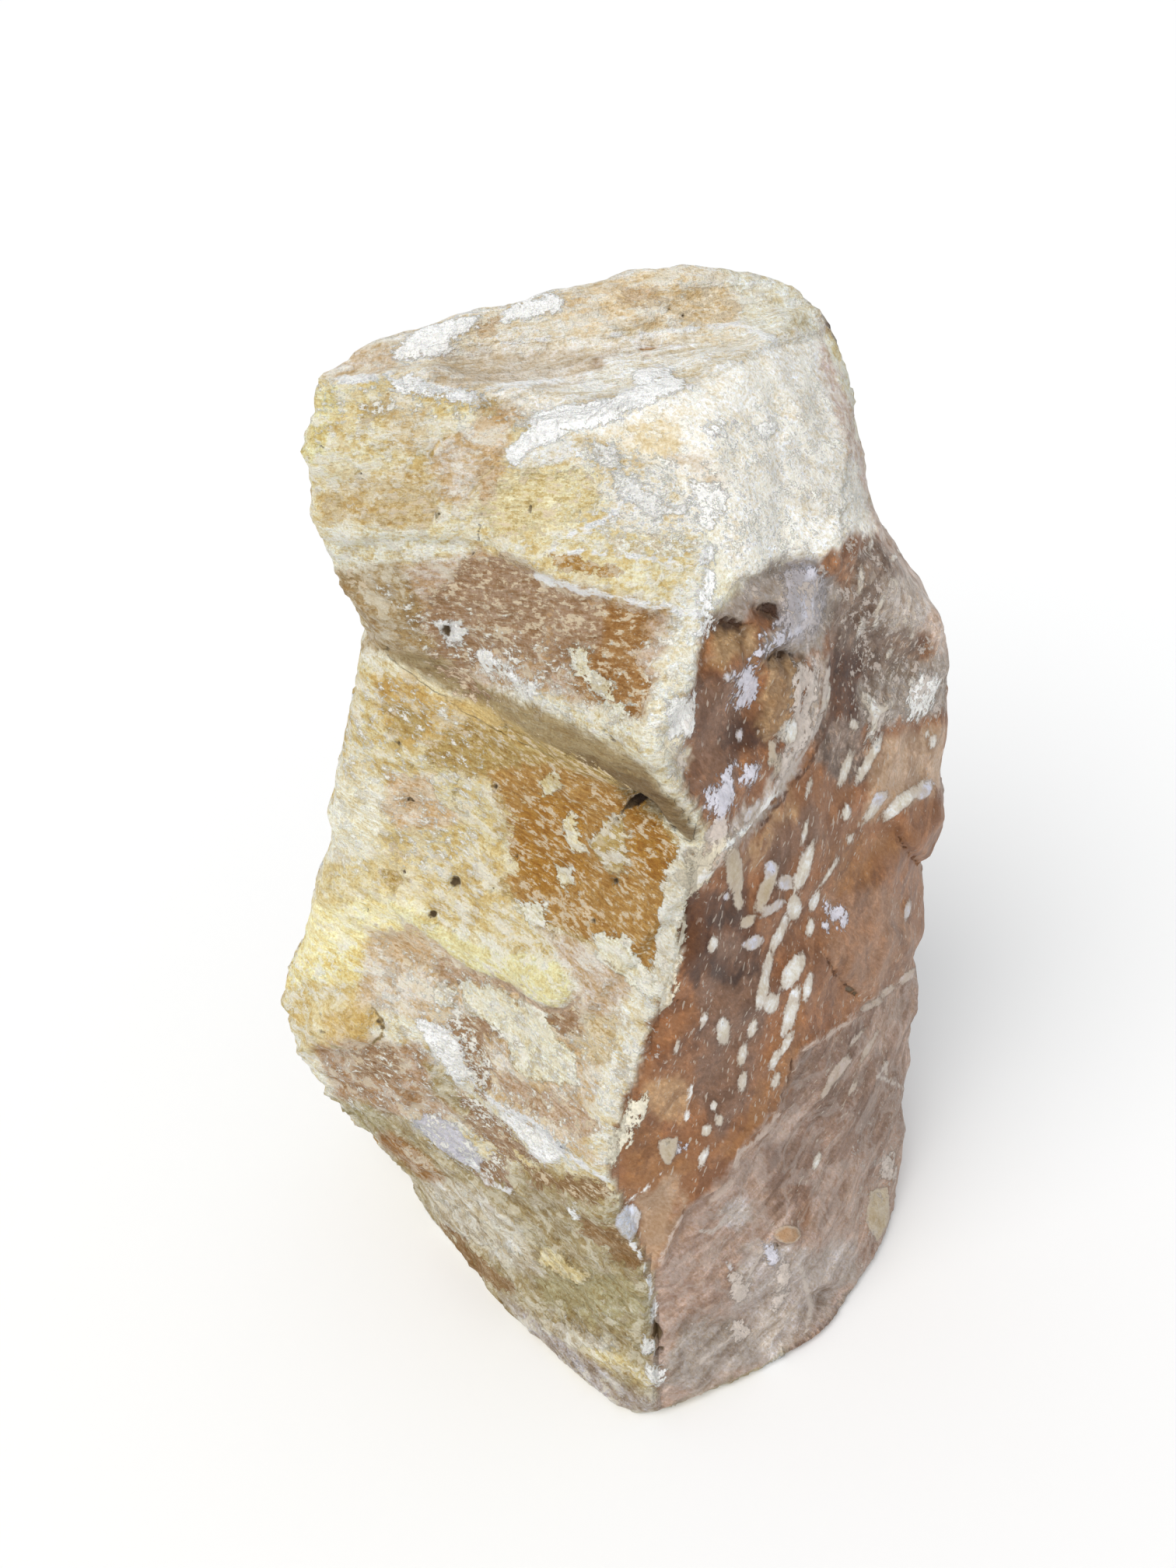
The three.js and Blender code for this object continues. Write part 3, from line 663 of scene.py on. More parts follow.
# Brush strokes: layer, colour, width in pixels, line.
STROKES = [
    ("line", "white", 8, [(690, 742), (750, 760), (830, 776), (898, 790)]),
    ("line", "white", 6, [(700, 706), (780, 712), (850, 720), (892, 728)]),
    ("line", "white", 7, [(730, 690), (780, 668), (810, 640)]),
    ("line", "white", 6, [(600, 446), (700, 437), (794, 431), (850, 428), (901, 423), (950, 417),
        (1000, 440)]),
    ("line", "white", 5, [(620, 500), (700, 492), (760, 480)]),
    ("line", "white", 12, [(440, 488), (500, 486), (560, 500), (610, 512)]),
    ("line", "white", 6, [(604, 1388), (640, 1420), (690, 1444), (735, 1488), (782, 1518)]),
    ("line", "white", 5, [(602, 1490), (628, 1520), (656, 1532)]),
    ("line", "white", 6, [(812, 1596), (830, 1630), (842, 1680), (838, 1700)]),
    ("line", "strip", 4, [(1094, 1312), (1060, 1334), (1030, 1350)]),
    ("line", "strip", 6, [(1000, 1432), (975, 1462), (950, 1482), (946, 1500)]),
    ("line", "strip", 7, [(940, 1520), (915, 1542)]),
    ("line", "strip", 4, [(876, 1562), (862, 1592), (848, 1624)]),
    ("line", "grey_white", 3, [(806, 1545), (830, 1526), (852, 1505)]),
    ("line", "grey_white", 3, [(888, 1395), (882, 1440)]),
    # Along the ledge on the brown face: a pale edge, pale mineral with a painted highlight, then a painted
    # shadow on its lower side.
    ("line", "grey_white", 5, [(1000, 1018), (968, 1052), (930, 1092), (898, 1132)]),
    ("line", "mauve_pale", 6, [(1064, 862), (1054, 920), (1036, 962), (1000, 1010)]),
    ("line", "dark_brown", 5, [(1076, 870), (1066, 925), (1048, 970), (1012, 1018), (980, 1058)]),
    ("line", "mauve_pale", 4, [(1140, 1366), (1128, 1384), (1150, 1392), (1160, 1400), (1172, 1394)]),
    ("line", "mauve_pale", 4, [(980, 1606), (962, 1640), (948, 1668), (968, 1664)]),
    ("line", "mauve_pale", 5, [(1030, 1630), (1042, 1680), (1032, 1730)]),
    ("line", "mauve_pale", 5, [(960, 1702), (930, 1726), (900, 1750)]),
    ("line", "mauve_pale", 4, [(890, 1580), (915, 1584), (930, 1570), (960, 1560)]),
    # This stroke is painted shadow under the tongue's lower edge.
    ("dark", "rose_brown", 5, [(640, 1266), (668, 1280), (700, 1300), (726, 1300), (742, 1284)]),
    ("dark", "band_brown", 4, [(822, 446), (834, 448)]),
    ("dark", "band_brown", 3, [(838, 442), (848, 444)]),
    ("dark", "band_brown", 3, [(826, 456), (836, 457)]),
    ("dark", "honey", 3, [(553, 588), (562, 570), (580, 558)]),
    ("dark", "ochre", 3, [(600, 640), (622, 612), (642, 590)]),
    # This stroke is painted shade in the fold on the bulge's right side.
    ("dark", "groove", 4, [(478, 1298), (490, 1312), (492, 1330), (474, 1346)]),
    ("dark", "dark_olive", 3, [(404, 1338), (420, 1346), (444, 1348)]),
    ("dark", "pit", 2.5, [(618, 662), (612, 690), (615, 702)]),
    ("dark", "pit", 2.5, [(594, 720), (610, 710)]),
    ("dark", "pit", 3, [(772, 936), (786, 952), (800, 962)]),
    ("dark", "pit", 2.5, [(680, 650), (678, 660)]),
    # This stroke is painted shade running on from the deep hollow at the groove's end.
    ("dark", "pit", 4, [(838, 1036), (856, 1056), (872, 1072)]),
    ("dark", "pit", 4, [(838, 1690), (846, 1712), (852, 1736)]),
    ("dark", "dark_brown", 2, [(1062, 1228), (1076, 1256), (1094, 1274)]),
    ("dark", "pit", 6, [(1092, 1272), (1102, 1278)]),
    ("dark", "dark_brown", 1.5, [(1152, 1066), (1166, 1094), (1182, 1112)]),
    # This stroke is painted shadow cast by the brown face's edge on the mauve layer.
    ("dark", "dark_brown", 2, [(1020, 1360), (1014, 1392), (1004, 1412)]),
    ("dark", "dark_brown", 2, [(866, 1286), (884, 1290)]),
]

# Pits: x, y and width in pixels, and depth in mm.
PITS = [
    (510, 957, 9, 0.9), (528, 988, 6, 0.6), (526, 1030, 8, 0.9), (536, 1036, 7, 0.8), (508, 1080, 9, 1.0),
    (584, 1134, 14, 1.2), (556, 1176, 11, 0.8), (519, 1121, 5, 0.5), (471, 1170, 6, 0.5),
    (645, 1082, 7, 0.8), (663, 1102, 5, 0.6), (692, 1175, 5, 0.6), (715, 1200, 6, 0.6), (760, 1186, 6, 0.6),
    (790, 1134, 9, 1.0), (797, 1048, 7, 1.0), (633, 1012, 6, 0.6), (414, 1326, 8, 0.8), (452, 1308, 6, 0.6),
    (486, 1314, 8, 0.8), (444, 1342, 5, 0.5), (574, 812, 15, 1.5), (462, 608, 5, 0.4), (435, 610, 4, 0.4),
    (412, 576, 5, 0.5), (492, 518, 3, 0.3), (563, 662, 5, 0.5), (744, 658, 6, 0.4), (688, 562, 5, 0.4),
    (496, 836, 7, 0.8), (646, 935, 8, 1.0), (666, 606, 5, 0.4), (632, 1142, 4, 0.4), (1000, 1601, 6, 0.8),
    (844, 1716, 16, 3.0), (848, 1738, 10, 2.0), (880, 405, 6, 0.6), (862, 395, 6, 0.5),
]

# Each layer: how far it stands out of the ground in mm, and how far its edge wanders in mm.
LAYERS = {
    "inlay": (-0.30, 2.4),
    "island": (0.35, 1.6),
    "tongue": (1.10, 0.8),
    "crust": (0.35, 1.4),
    "cell": (0.20, 0.4),
    "line": (0.25, 0.5),
    # The dark layer: pits and cracks, and painted shade in hollows, folds and under ledges.
    "dark": (-0.60, 0.3),
}
DEPTH_LIMIT = 4.0

# Ledges: a broken edge that stands proud on the left of its line, as the line runs, and falls away on
# the right, or the other way round where the height is negative. Height and reach in mm, line.
LEDGES = [
    (-3.4, 18, [(1070, 770), (1062, 850), (1050, 910), (1022, 975), (985, 1032), (950, 1072), (893, 1140)]),
    (-2.0, 14, [(1190, 1235), (1110, 1288), (1092, 1314), (1030, 1350), (1018, 1392), (998, 1432),
        (950, 1480), (938, 1512), (880, 1553), (862, 1600), (846, 1650)]),
    (1.3, 7, [(540, 470), (600, 446), (700, 437), (794, 431), (901, 423), (960, 418)]),
    (-1.0, 6, [(560, 503), (640, 502), (700, 492), (780, 490), (870, 478), (905, 452), (1000, 447)]),
    (1.2, 6, [(460, 492), (545, 492), (614, 514), (680, 546), (750, 540), (815, 515), (880, 490)]),
    (1.6, 6, [(420, 705), (480, 694), (560, 690), (640, 700), (700, 738), (780, 768), (900, 795)]),
    (1.0, 5, [(640, 640), (690, 600), (760, 560), (800, 576), (830, 620), (870, 660), (905, 680)]),
    (1.4, 6, [(530, 1302), (565, 1322), (606, 1386), (650, 1422), (700, 1450), (740, 1490), (790, 1516)]),
    (1.6, 7, [(430, 1418), (520, 1434), (580, 1470), (640, 1520), (700, 1546), (760, 1590), (830, 1640)]),
    (0.9, 5, [(700, 1030), (752, 1030), (766, 1110), (810, 1140), (830, 1110)]),
    (1.0, 5, [(1150, 1066), (1166, 1094), (1186, 1112)]),
    (0.8, 5, [(1062, 1228), (1076, 1256), (1104, 1284)]),
    (1.2, 6, [(920, 742), (960, 748), (1010, 716), (1050, 730), (1075, 760)]),
    (1.0, 6, [(860, 590), (905, 600), (930, 640), (925, 700)]),
    (0.8, 5, [(980, 590), (1010, 630), (1060, 650), (1090, 690)]),
]

# Lobes that stand out, or hollows where the height is negative: height and width of the slope in mm,
# outline.
LOBES = [
    (0.9, 2.0, [(672, 1256), (700, 1244), (736, 1258), (734, 1280), (714, 1292), (690, 1282)]),
    (2.2, 3.0, [(405, 1300), (450, 1285), (484, 1300), (486, 1325), (440, 1345), (395, 1345)]),
    (1.4, 2.0, [(1140, 1020), (1200, 1010), (1208, 1060), (1186, 1106), (1156, 1080)]),
    (1.3, 1.2, [(916, 824), (944, 818), (950, 850), (934, 878), (912, 868)]),
    (1.2, 1.0, [(958, 812), (974, 810), (978, 840), (962, 856)]),
    (1.3, 1.2, [(976, 852), (1014, 846), (1012, 900), (996, 940), (970, 944), (964, 920)]),
    (-1.2, 1.5, [(918, 800), (930, 793), (954, 795), (962, 812), (950, 822), (924, 818)]),
    (-1.4, 1.5, [(964, 780), (992, 772), (1000, 786), (998, 806), (984, 818), (970, 800)]),
    (-5.0, 1.6, [(802, 1014), (822, 1017), (842, 1030), (856, 1048), (842, 1054), (820, 1046),
        (804, 1034)]),
    (-0.9, 1.2, [(974, 836), (996, 827), (1022, 834), (1018, 844), (978, 847)]),
    (1.0, 1.5, [(996, 1582), (1012, 1574), (1030, 1584), (1026, 1598), (1004, 1600)]),
    (1.2, 3.0, [(1075, 1200), (1165, 1190), (1170, 1262), (1110, 1284), (1082, 1256)]),
    (-3.8, 4.0, [(1036, 1680), (1062, 1658), (1110, 1666), (1130, 1760), (1000, 1790), (1004, 1728)]),
]

# ---------------------------------------------------------------- layers on the side that doesn't show

# The ground colour of each kind of face.
FAR_GROUND = {"pale": "straw", "brown": "tan_brown", "under": "mauve"}

# Tones over the ground: the kind of face, the colour, and how high the noise must be.
FAR_TONES = [
    ("pale", "cream", -0.05), ("pale", "pink_tan", 0.22), ("pale", "ochre", 0.22), ("pale", "rim", 0.2),
    ("brown", "plum", 0.0), ("brown", "orange_brown", 0.15), ("brown", "dark_brown", 0.22),
    ("brown", "grey_plum", 0.25), ("brown", "orange_tan", 0.34), ("under", "mauve_grey", 0.0),
    ("under", "mauve_dark", 0.15), ("under", "mauve_pale", 0.25),
]

# Layers: how many mm the noise drives each one up and down, the depth in mm that it starts from, how much
# deeper it lies in some places, and its colours on pale faces and on the brown one.
FAR_LAYERS = {
    "inlay": (16, -3.4, {"brown": -1.5}, "amber", "plum"),
    "island": (7, -3.0, {}, "pale_cream", "mauve_pale"),
    "tongue": (0, -DEPTH_LIMIT, {}, "lemon", "lemon"),
    "crust": (8, -3.0, {"crown": 1.5, "brown": -0.8}, "white", "chalk"),
    "cell": (6, -5.0, {"swarm": 3.6}, "cell", "cell"),
    "line": (0, -DEPTH_LIMIT, {}, "white", "white"),
    "dark": (5, -3.6, {}, "pit", "pit"),
}

# Planes that cut the broken faces: the direction that each one faces, and how deep it cuts in mm.
FAR_CUTS = [
    (0.3, 0.94, 0.1, 5.0), (-0.4, 0.88, -0.15, 4.5), (0.78, 0.6, -0.1, 4.5), (0.9, 0.3, 0.25, 3.5),
    (-0.15, 0.82, 0.5, 6.0), (0.1, 0.9, -0.38, 4.0), (-0.8, 0.55, 0.15, 4.0), (-0.92, 0.2, -0.25, 3.0),
]

# ---------------------------------------------------------------- directions of the grain

# In the left face the fibres run level, from the left corner to the front corner; in its upper part and
# the brown band they rise a little that way. In the brown face the cells stand nearly upright and lean
# to the right; in the mauve layer under it the streaks climb to the right. Over the crown the bands run
# left to right, and in the undercut foot they sink.
GRAIN = {
    "level": np.array([0.727, -0.687, 0.0]),
    "leaning": np.array([0.23, 0.26, 0.94]),
    "climbing": np.array([0.60, 0.66, 0.40]),
    "over": np.array([0.97, 0.24, 0.0]),
    "sinking": np.array([0.68, -0.62, -0.36]),
    "rising": np.array([0.70, -0.66, 0.27]),
}

# The way that blotches are drawn out on the brown face, up its slant.
SLANT = (-0.46, -0.30, 0.84)

# The kinds of face that differ from the fibrous left face: the outline of each in the photograph.
FACES = {
    "crown": [(395, 485), (440, 440), (600, 385), (700, 350), (870, 310), (1060, 365), (1055, 440),
        (1000, 440), (870, 505), (805, 520), (680, 545), (614, 511), (534, 490), (440, 490)],
    "shoulder": [(680, 545), (805, 520), (870, 505), (1000, 440), (1060, 430), (1130, 640), (1165, 700),
        (1060, 725), (950, 745), (905, 800), (905, 690), (860, 610), (760, 560)],
    "brown": [(905, 800), (950, 745), (1060, 715), (1130, 640), (1300, 700), (1300, 1700), (850, 1850),
        (845, 1790), (838, 1640), (785, 1510), (800, 1430), (868, 1235), (893, 1112), (905, 1060),
        (850, 950), (895, 880)],
    "band": [(350, 480), (534, 490), (614, 511), (680, 545), (760, 560), (860, 610), (905, 690), (905, 800),
        (895, 880), (850, 950), (905, 1060), (800, 1000), (740, 970), (640, 925), (560, 865), (430, 830),
        (370, 700)],
    "foot": [(370, 1390), (440, 1408), (560, 1440), (640, 1500), (700, 1524), (760, 1560), (830, 1620),
        (842, 1700), (850, 1860), (640, 1790), (420, 1560)],
    "under": [(1190, 1235), (1110, 1288), (1030, 1350), (998, 1432), (938, 1512), (862, 1600), (840, 1640),
        (830, 1850), (1300, 1850), (1300, 1200)],
}

# ---------------------------------------------------------------- the stone's mesh

FINE_MM = 1.06
WELD_MM = 0.01
SMOOTHING = 0.5
SMOOTH_TIMES = 3

# Lumpy noises: the size of the largest lumps in mm, how many octaves, and the seed.
LUMPS = {
    "brown_edge": (40.0, 3, 131),
    "under_edge": (30.0, 3, 141),
    "crown_edge": (20.0, 3, 151),
    "swarm": (32.0, 3, 181),
    "dark": (9.0, 2, 81),
    "cut": (14.0, 3, 191),
    "lumps": (5.0, 3, 111),
    "swell": (16.0, 3, 121),
}

# Noises drawn out along the grain: a lump's size along, over and beside the grain in mm, and the seed.
STREAKS = {
    "tone": ((40.0, 16.0, 30.0), 91),
    "inlay": ((60.0, 20.0, 44.0), 51),
    "island": ((12.0, 6.0, 9.0), 61),
    "crust": ((26.0, 9.0, 20.0), 71),
    "cell": ((7.0, 2.1, 2.1), 161),
    "long_ribs": ((26.0, 5.0, 12.0), 101),
    "fine_ribs": ((9.0, 2.2, 5.0), 106),
    "creases": ((20.0, 7.0, 12.0), 171),
    "stain": ((14.0, 5.0, 7.0), 201),
    "blotch": ((7.0, 3.2, 3.6), 251),
    "dust": ((30.0, 12.0, 20.0), 271),
}
GRAIN_OCTAVES = 4
GRAIN_SEED_STEP = 10
FAR_TONE_SIZES = (34.0, 13.0, 26.0)
FAR_TONE_SEED = 301
FAR_TONE_SEED_STEP = 60

# How drawn edges wander: lump sizes in mm, and the share of the reach that goes up and down.
WANDER_ALONG = (7.0, 2.2, 3.0)
WANDER_UP = (4.0, 2.0, 3.0)
WANDER_UP_SHARE = 0.6
WANDER_SEED_STEP = 50
GROUND_WANDER = (3.2, 31)
AREA_WANDER = (1.2, 151)
LAYER_SEED = 11

# The relief of the broken faces: noise, where it lies, and its height in mm.
RELIEF = [
    ("long_ribs", "fibrous", 1.1), ("fine_ribs", "fibrous", 0.6), ("creases", "fibrous", 0.7),
    ("long_ribs", "low", 1.0), ("fine_ribs", "low", 0.3), ("creases", "low", 1.6),
    ("long_ribs", "crown", 0.8), ("fine_ribs", "crown", 0.35), ("lumps", "shoulder", 0.9),
    ("swell", "brown", 1.0), ("lumps", "brown", 0.22), ("lumps", "deep_brown", 0.25),
    ("swell", "everywhere", 0.5),
]

# Creases are sharp where their noise crosses nought: how high they stand there, and how fast they fall.
CREASE_TOP = 0.5
CREASE_FALL = 1.6

# Heights on the stone in mm: where the crown starts, the top of the mauve layer at the back, the top of
# the coarser ribs, and the foot, where nothing moves off the floor.
CROWN_SPAN = (165, 180)
CROWN_SLOPE_SPAN = (0.5, 0.62)
FAR_UNDER_TOP = 80
FAR_UNDER_SHAKE = 30
FAR_UNDER_EDGE = 4
LOW_TOP = 75
LOW_EDGE = 8
FLOOR_SPAN = (0.4, 5.0)

# The way from the pale faces to the brown one on the side that doesn't show, and the edge between them.
BROWN_WAY = np.array([1 / 66, 1 / 90, 0])
BROWN_SHAKE = 0.6
BROWN_EDGE = 0.06
CROWN_SHAKE = 0.3

# How softly things change over, in mm where nothing else is said.
FACE_EDGE = 1.0
LAYER_STEP_EDGE = 0.5
OVERLAP_SPAN = (-0.3, 0.4)
OUTSIDE_FADE = 4
GROUND_EDGE = 0.35
GROUND_EDGE_PER_SOFTNESS = 0.3
MOTTLED_EDGE, DUSTED_EDGE, CLEAN_EDGE = 2.0, 3.0, 0.8
LEDGE_GAP_SPAN = (-0.2, 0.9)
LEDGE_END_SPAN = (0.5, 6)
FAR_TONE_SOFTNESS = 0.12
FAR_FADING_SPAN = (-0.3, 0.3)
SWARM_SPAN = (-0.25, 0.15)
SHOWS_SPAN = (-0.06, 0.10)

# The side that doesn't show: how mottled and dusty it is, and how its planes cut it.
FAR_MOTTLE = 0.45
FAR_MOTTLE_UNDER = 0.35
FAR_DUST = 0.8
FAR_DUST_SPAN = (-0.2, 0.5)
CUT_SHAKE = 1.2
CUT_LEAST_FACING = 0.4
CUT_FACING_SPAN = (0.3, 0.5)

# Where a pit's sloping wall ends, in half widths of the pit.
PIT_RIM = 1.3


def fine_mesh(name):
    """A fine, even mesh of the CAD solid, smooth over its facets."""
    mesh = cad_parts[NODE].data.copy()
    mesh.materials.clear()
    shape = bmesh.new()
    shape.from_mesh(mesh)
    bmesh.ops.remove_doubles(shape, verts=shape.verts, dist=WELD_MM * MM)
    shape.to_mesh(mesh)
    shape.free()
    piece = bpy.data.objects.new(name, mesh)
    bpy.context.scene.collection.objects.link(piece)
    rounded = piece.modifiers.new("rounded", "SUBSURF")
    rounded.levels = 1
    even = piece.modifiers.new("even", "REMESH")
    even.mode = "VOXEL"
    even.voxel_size = FINE_MM * MM
    soft = piece.modifiers.new("soft", "SMOOTH")
    soft.factor = SMOOTHING
    soft.iterations = SMOOTH_TIMES
    graph = bpy.context.evaluated_depsgraph_get()
    piece.data = bpy.data.meshes.new_from_object(piece.evaluated_get(graph))
    piece.modifiers.clear()
    return piece


def read_vectors(collection, key):
    """A vector of each of a mesh's parts, one to a row."""
    values = np.zeros(len(collection) * 3)
    collection.foreach_get(key, values)
    return values.reshape(-1, 3)


def grain_axes(way):
    """Three axes at right angles: along the grain, over it and beside it."""
    way = way / np.linalg.norm(way)
    side = np.cross((0, 0, 1), way)
    side /= np.linalg.norm(side)
    return np.array([way, np.cross(way, side), side])


def grain_noise(points, faces, sizes, seed):
    """Noise drawn out along each face's own grain, about -1 to 1."""
    crown = faces["crown"]
    brown = faces["brown"] * (1 - crown)
    under = faces["under"] * brown
    foot = faces["foot"] * (1 - brown - crown)
    side = 1 - brown - crown - foot
    band = faces["band"] * side
    shares = {"level": side - band, "leaning": brown - under, "climbing": under,
              "over": crown, "sinking": foot, "rising": band}
    total = np.zeros(len(points))
    for turn, (name, share) in enumerate(shares.items()):
        here = share > 0.001
        places = points[here] @ grain_axes(GRAIN[name]).T / sizes
        total[here] += share[here] * fractal(places, 1.0, GRAIN_OCTAVES, seed + turn * GRAIN_SEED_STEP)
    return total


def streak_noise(points, faces, name):
    """The named noise of STREAKS."""
    return grain_noise(points, faces, *STREAKS[name])


def lump_noise(points, name):
    """The named noise of LUMPS."""
    return fractal(points, *LUMPS[name])


def drawn_faces(pixels, scale):
    """How much each point belongs to each drawn kind of face, as the camera sees it."""
    return {name: smooth_step(outline_depth(pixels, outline) * scale, -FACE_EDGE, FACE_EDGE)
            for name, outline in FACES.items()}


def far_faces(points, normals):
    """The kinds of face on the side that doesn't show: brown to the right and rear, crown on top."""
    brownness = points @ BROWN_WAY + lump_noise(points, "brown_edge") * BROWN_SHAKE
    brown = smooth_step(brownness, -BROWN_EDGE, BROWN_EDGE)
    upness = normals[:, 2] + lump_noise(points, "crown_edge") * CROWN_SHAKE
    crown = smooth_step(upness, *CROWN_SLOPE_SPAN)
    crown *= smooth_step(points[:, 2], *CROWN_SPAN)
    under_top = FAR_UNDER_TOP + lump_noise(points, "under_edge") * FAR_UNDER_SHAKE
    under = brown * smooth_step(under_top - points[:, 2], -FAR_UNDER_EDGE, FAR_UNDER_EDGE)
    return {"crown": crown, "brown": brown * (1 - crown), "under": under}


def all_faces(points, normals, shows, pixels, scale):
    """How much each point belongs to each kind of face, 0 to 1; what is left is fibrous side face."""
    far = far_faces(points, normals)
    return {name: blend(shows, far.get(name, 0.0), drawn)
            for name, drawn in drawn_faces(pixels, scale).items()}


def wandering_pixels(points, faces, reach, seed):
    """Pixels of points that are first pushed about by up to reach mm, so drawn edges come out broken."""
    along = grain_noise(points, faces, WANDER_ALONG, seed) * reach
    up = grain_noise(points, faces, WANDER_UP, seed + WANDER_SEED_STEP) * reach * WANDER_UP_SHARE
    push = np.outer(along, GRAIN["level"]) + np.outer(up, (0, 0, 1))
    return photo_pixels(points + push)[0]


def stack_entries(entries):
    """The greatest depth of a layer's entries, and their colours. Later entries lie on earlier ones."""
    depths = np.clip([depth for _, depth in entries], -DEPTH_LIMIT, DEPTH_LIMIT)
    nearness = np.exp(np.minimum(depths, 0) * OUTSIDE_FADE)
    shades = np.array([COLOURS[name] for name, _ in entries])
    colour = nearness.T @ shades / nearness.sum(axis=0)[:, None]
    for shade, depth in zip(shades, depths):
        colour = blend_colours(smooth_step(depth, *OVERLAP_SPAN), colour, shade)
    return depths.max(axis=0), colour


def draw_layers(points, faces, scale):
    """Depth inside each layer, in mm, and the layer's colour, for the side that shows."""
    reaches = {reach for _, reach in LAYERS.values()}
    moved = {reach: wandering_pixels(points, faces, reach, LAYER_SEED) for reach in reaches}
    pixels = {layer: moved[reach] for layer, (_, reach) in LAYERS.items()}
    drawn = {layer: [] for layer in LAYERS}
    for layer, colour, outline in PATCHES:
        drawn[layer].append((colour, outline_depth(pixels[layer], outline) * scale))
    for layer, colour, width, line in STROKES:
        drawn[layer].append((colour, stroke_depth(pixels[layer], width, line) * scale))
    for layer, colour, spots in SPOTS:
        drawn[layer] += [(colour, spot_depth(pixels[layer], *spot) * scale) for spot in spots]
    for x, y, width, _ in PITS:
        from_middle = np.linalg.norm(pixels["dark"] - (x, y), axis=1)
        drawn["dark"].append(("pit", (width / 2 - from_middle) * scale))
    return {layer: stack_entries(entries) for layer, entries in drawn.items()}


def paint_ground(points, faces, scale):
    """Ground colour on the side that shows."""
    pixels = wandering_pixels(points, faces, *GROUND_WANDER)
    colour = np.tile(COLOURS["cream"], (len(points), 1))
    for name, softness, outline in GROUND:
        edge = GROUND_EDGE + softness * GROUND_EDGE_PER_SOFTNESS
        share = smooth_step(outline_depth(pixels, outline) * scale, -edge, edge)
        colour = blend_colours(share, colour, COLOURS[name])
    return colour


def paint_amounts(areas, softness, pixels, scale):
    """The greatest amount of the drawn areas that each pixel lies in."""
    drawn = np.zeros(len(pixels))
    for amount, outline in areas:
        inside = smooth_step(outline_depth(pixels, outline) * scale, -softness, softness)
        drawn = np.maximum(drawn, amount * inside)
    return drawn


def hidden_ground(points, faces):
    """Ground colour on the side that doesn't show: pale, brown and mauve, each with its own tones."""
    brown, under = faces["brown"], faces["under"]
    shares = {"pale": 1 - brown, "brown": brown * (1 - under), "under": brown * under}
    colour = sum(share[:, None] * COLOURS[FAR_GROUND[name]] for name, share in shares.items())
    for turn, (name, shade, level) in enumerate(FAR_TONES):
        height = grain_noise(points, faces, FAR_TONE_SIZES, FAR_TONE_SEED + turn * FAR_TONE_SEED_STEP)
        share = shares[name] * smooth_step(height, level, level + FAR_TONE_SOFTNESS)
        colour = blend_colours(share, colour, COLOURS[shade])
    return colour


def hidden_layers(points, faces):
    """Depth and colour of each layer on the side that doesn't show."""
    brown = faces["brown"]
    swarm = smooth_step(lump_noise(points, "swarm"), *SWARM_SPAN)
    places = faces | {"swarm": brown * (1 - faces["under"]) * swarm}
    fading = smooth_step(streak_noise(points, faces, "tone"), *FAR_FADING_SPAN)
    layers = {}
    for name, (drive, start, changes, pale, dark) in FAR_LAYERS.items():
        depth = np.full(len(points), start)
        if name in STREAKS:
            depth += drive * streak_noise(points, faces, name)
        if name in LUMPS:
            depth += drive * lump_noise(points, name)
        for place, change in changes.items():
            depth += change * places[place]
        shade = COLOURS[pale]
        if name == "inlay":
            shade = blend_colours(fading, COLOURS["island_tan"], shade)
        layers[name] = (np.clip(depth, -DEPTH_LIMIT, DEPTH_LIMIT), blend_colours(brown, shade, COLOURS[dark]))
    return layers


def all_layers(points, faces, scale, shows):
    """Depth and colour of every layer: drawn on the side that shows, and from noise on the other."""
    drawn = draw_layers(points, faces, scale)
    return {name: (blend(shows, depth, drawn[name][0]), blend_colours(shows, colour, drawn[name][1]))
            for name, (depth, colour) in hidden_layers(points, faces).items()}


def area_amounts(points, faces, pixels, scale, shows):
    """The other values that the material reads, by name."""
    far_mottle = FAR_MOTTLE + FAR_MOTTLE_UNDER * faces["under"]
    far_dust = smooth_step(streak_noise(points, faces, "dust"), *FAR_DUST_SPAN) * FAR_DUST
    return {
        "mottle": blend(shows, far_mottle, paint_amounts(MOTTLED, MOTTLED_EDGE, pixels, scale)),
        "dust": blend(shows, far_dust, paint_amounts(DUSTED, DUSTED_EDGE, pixels, scale)),
        "clean": shows * paint_amounts(CLEAN, CLEAN_EDGE, pixels, scale),
        "stain": streak_noise(points, faces, "stain"),
        "blotch": streak_noise(points, faces, "blotch"),
    }


def far_facets(points, normals):
    """How far the broken faces of the hidden side lie under the CAD solid's rounded surface, in mm."""
    fall = np.zeros(len(points))
    shaken = lump_noise(points, "cut") * CUT_SHAKE
    for *way, deep in FAR_CUTS:
        way = np.array(way) / np.linalg.norm(way)
        along = points @ way
        over = along - along.max() + deep + shaken
        facing = normals @ way
        cut = np.maximum(over, 0) / np.maximum(facing, CUT_LEAST_FACING)
        fall = np.maximum(fall, cut * smooth_step(facing, *CUT_FACING_SPAN))
    return fall


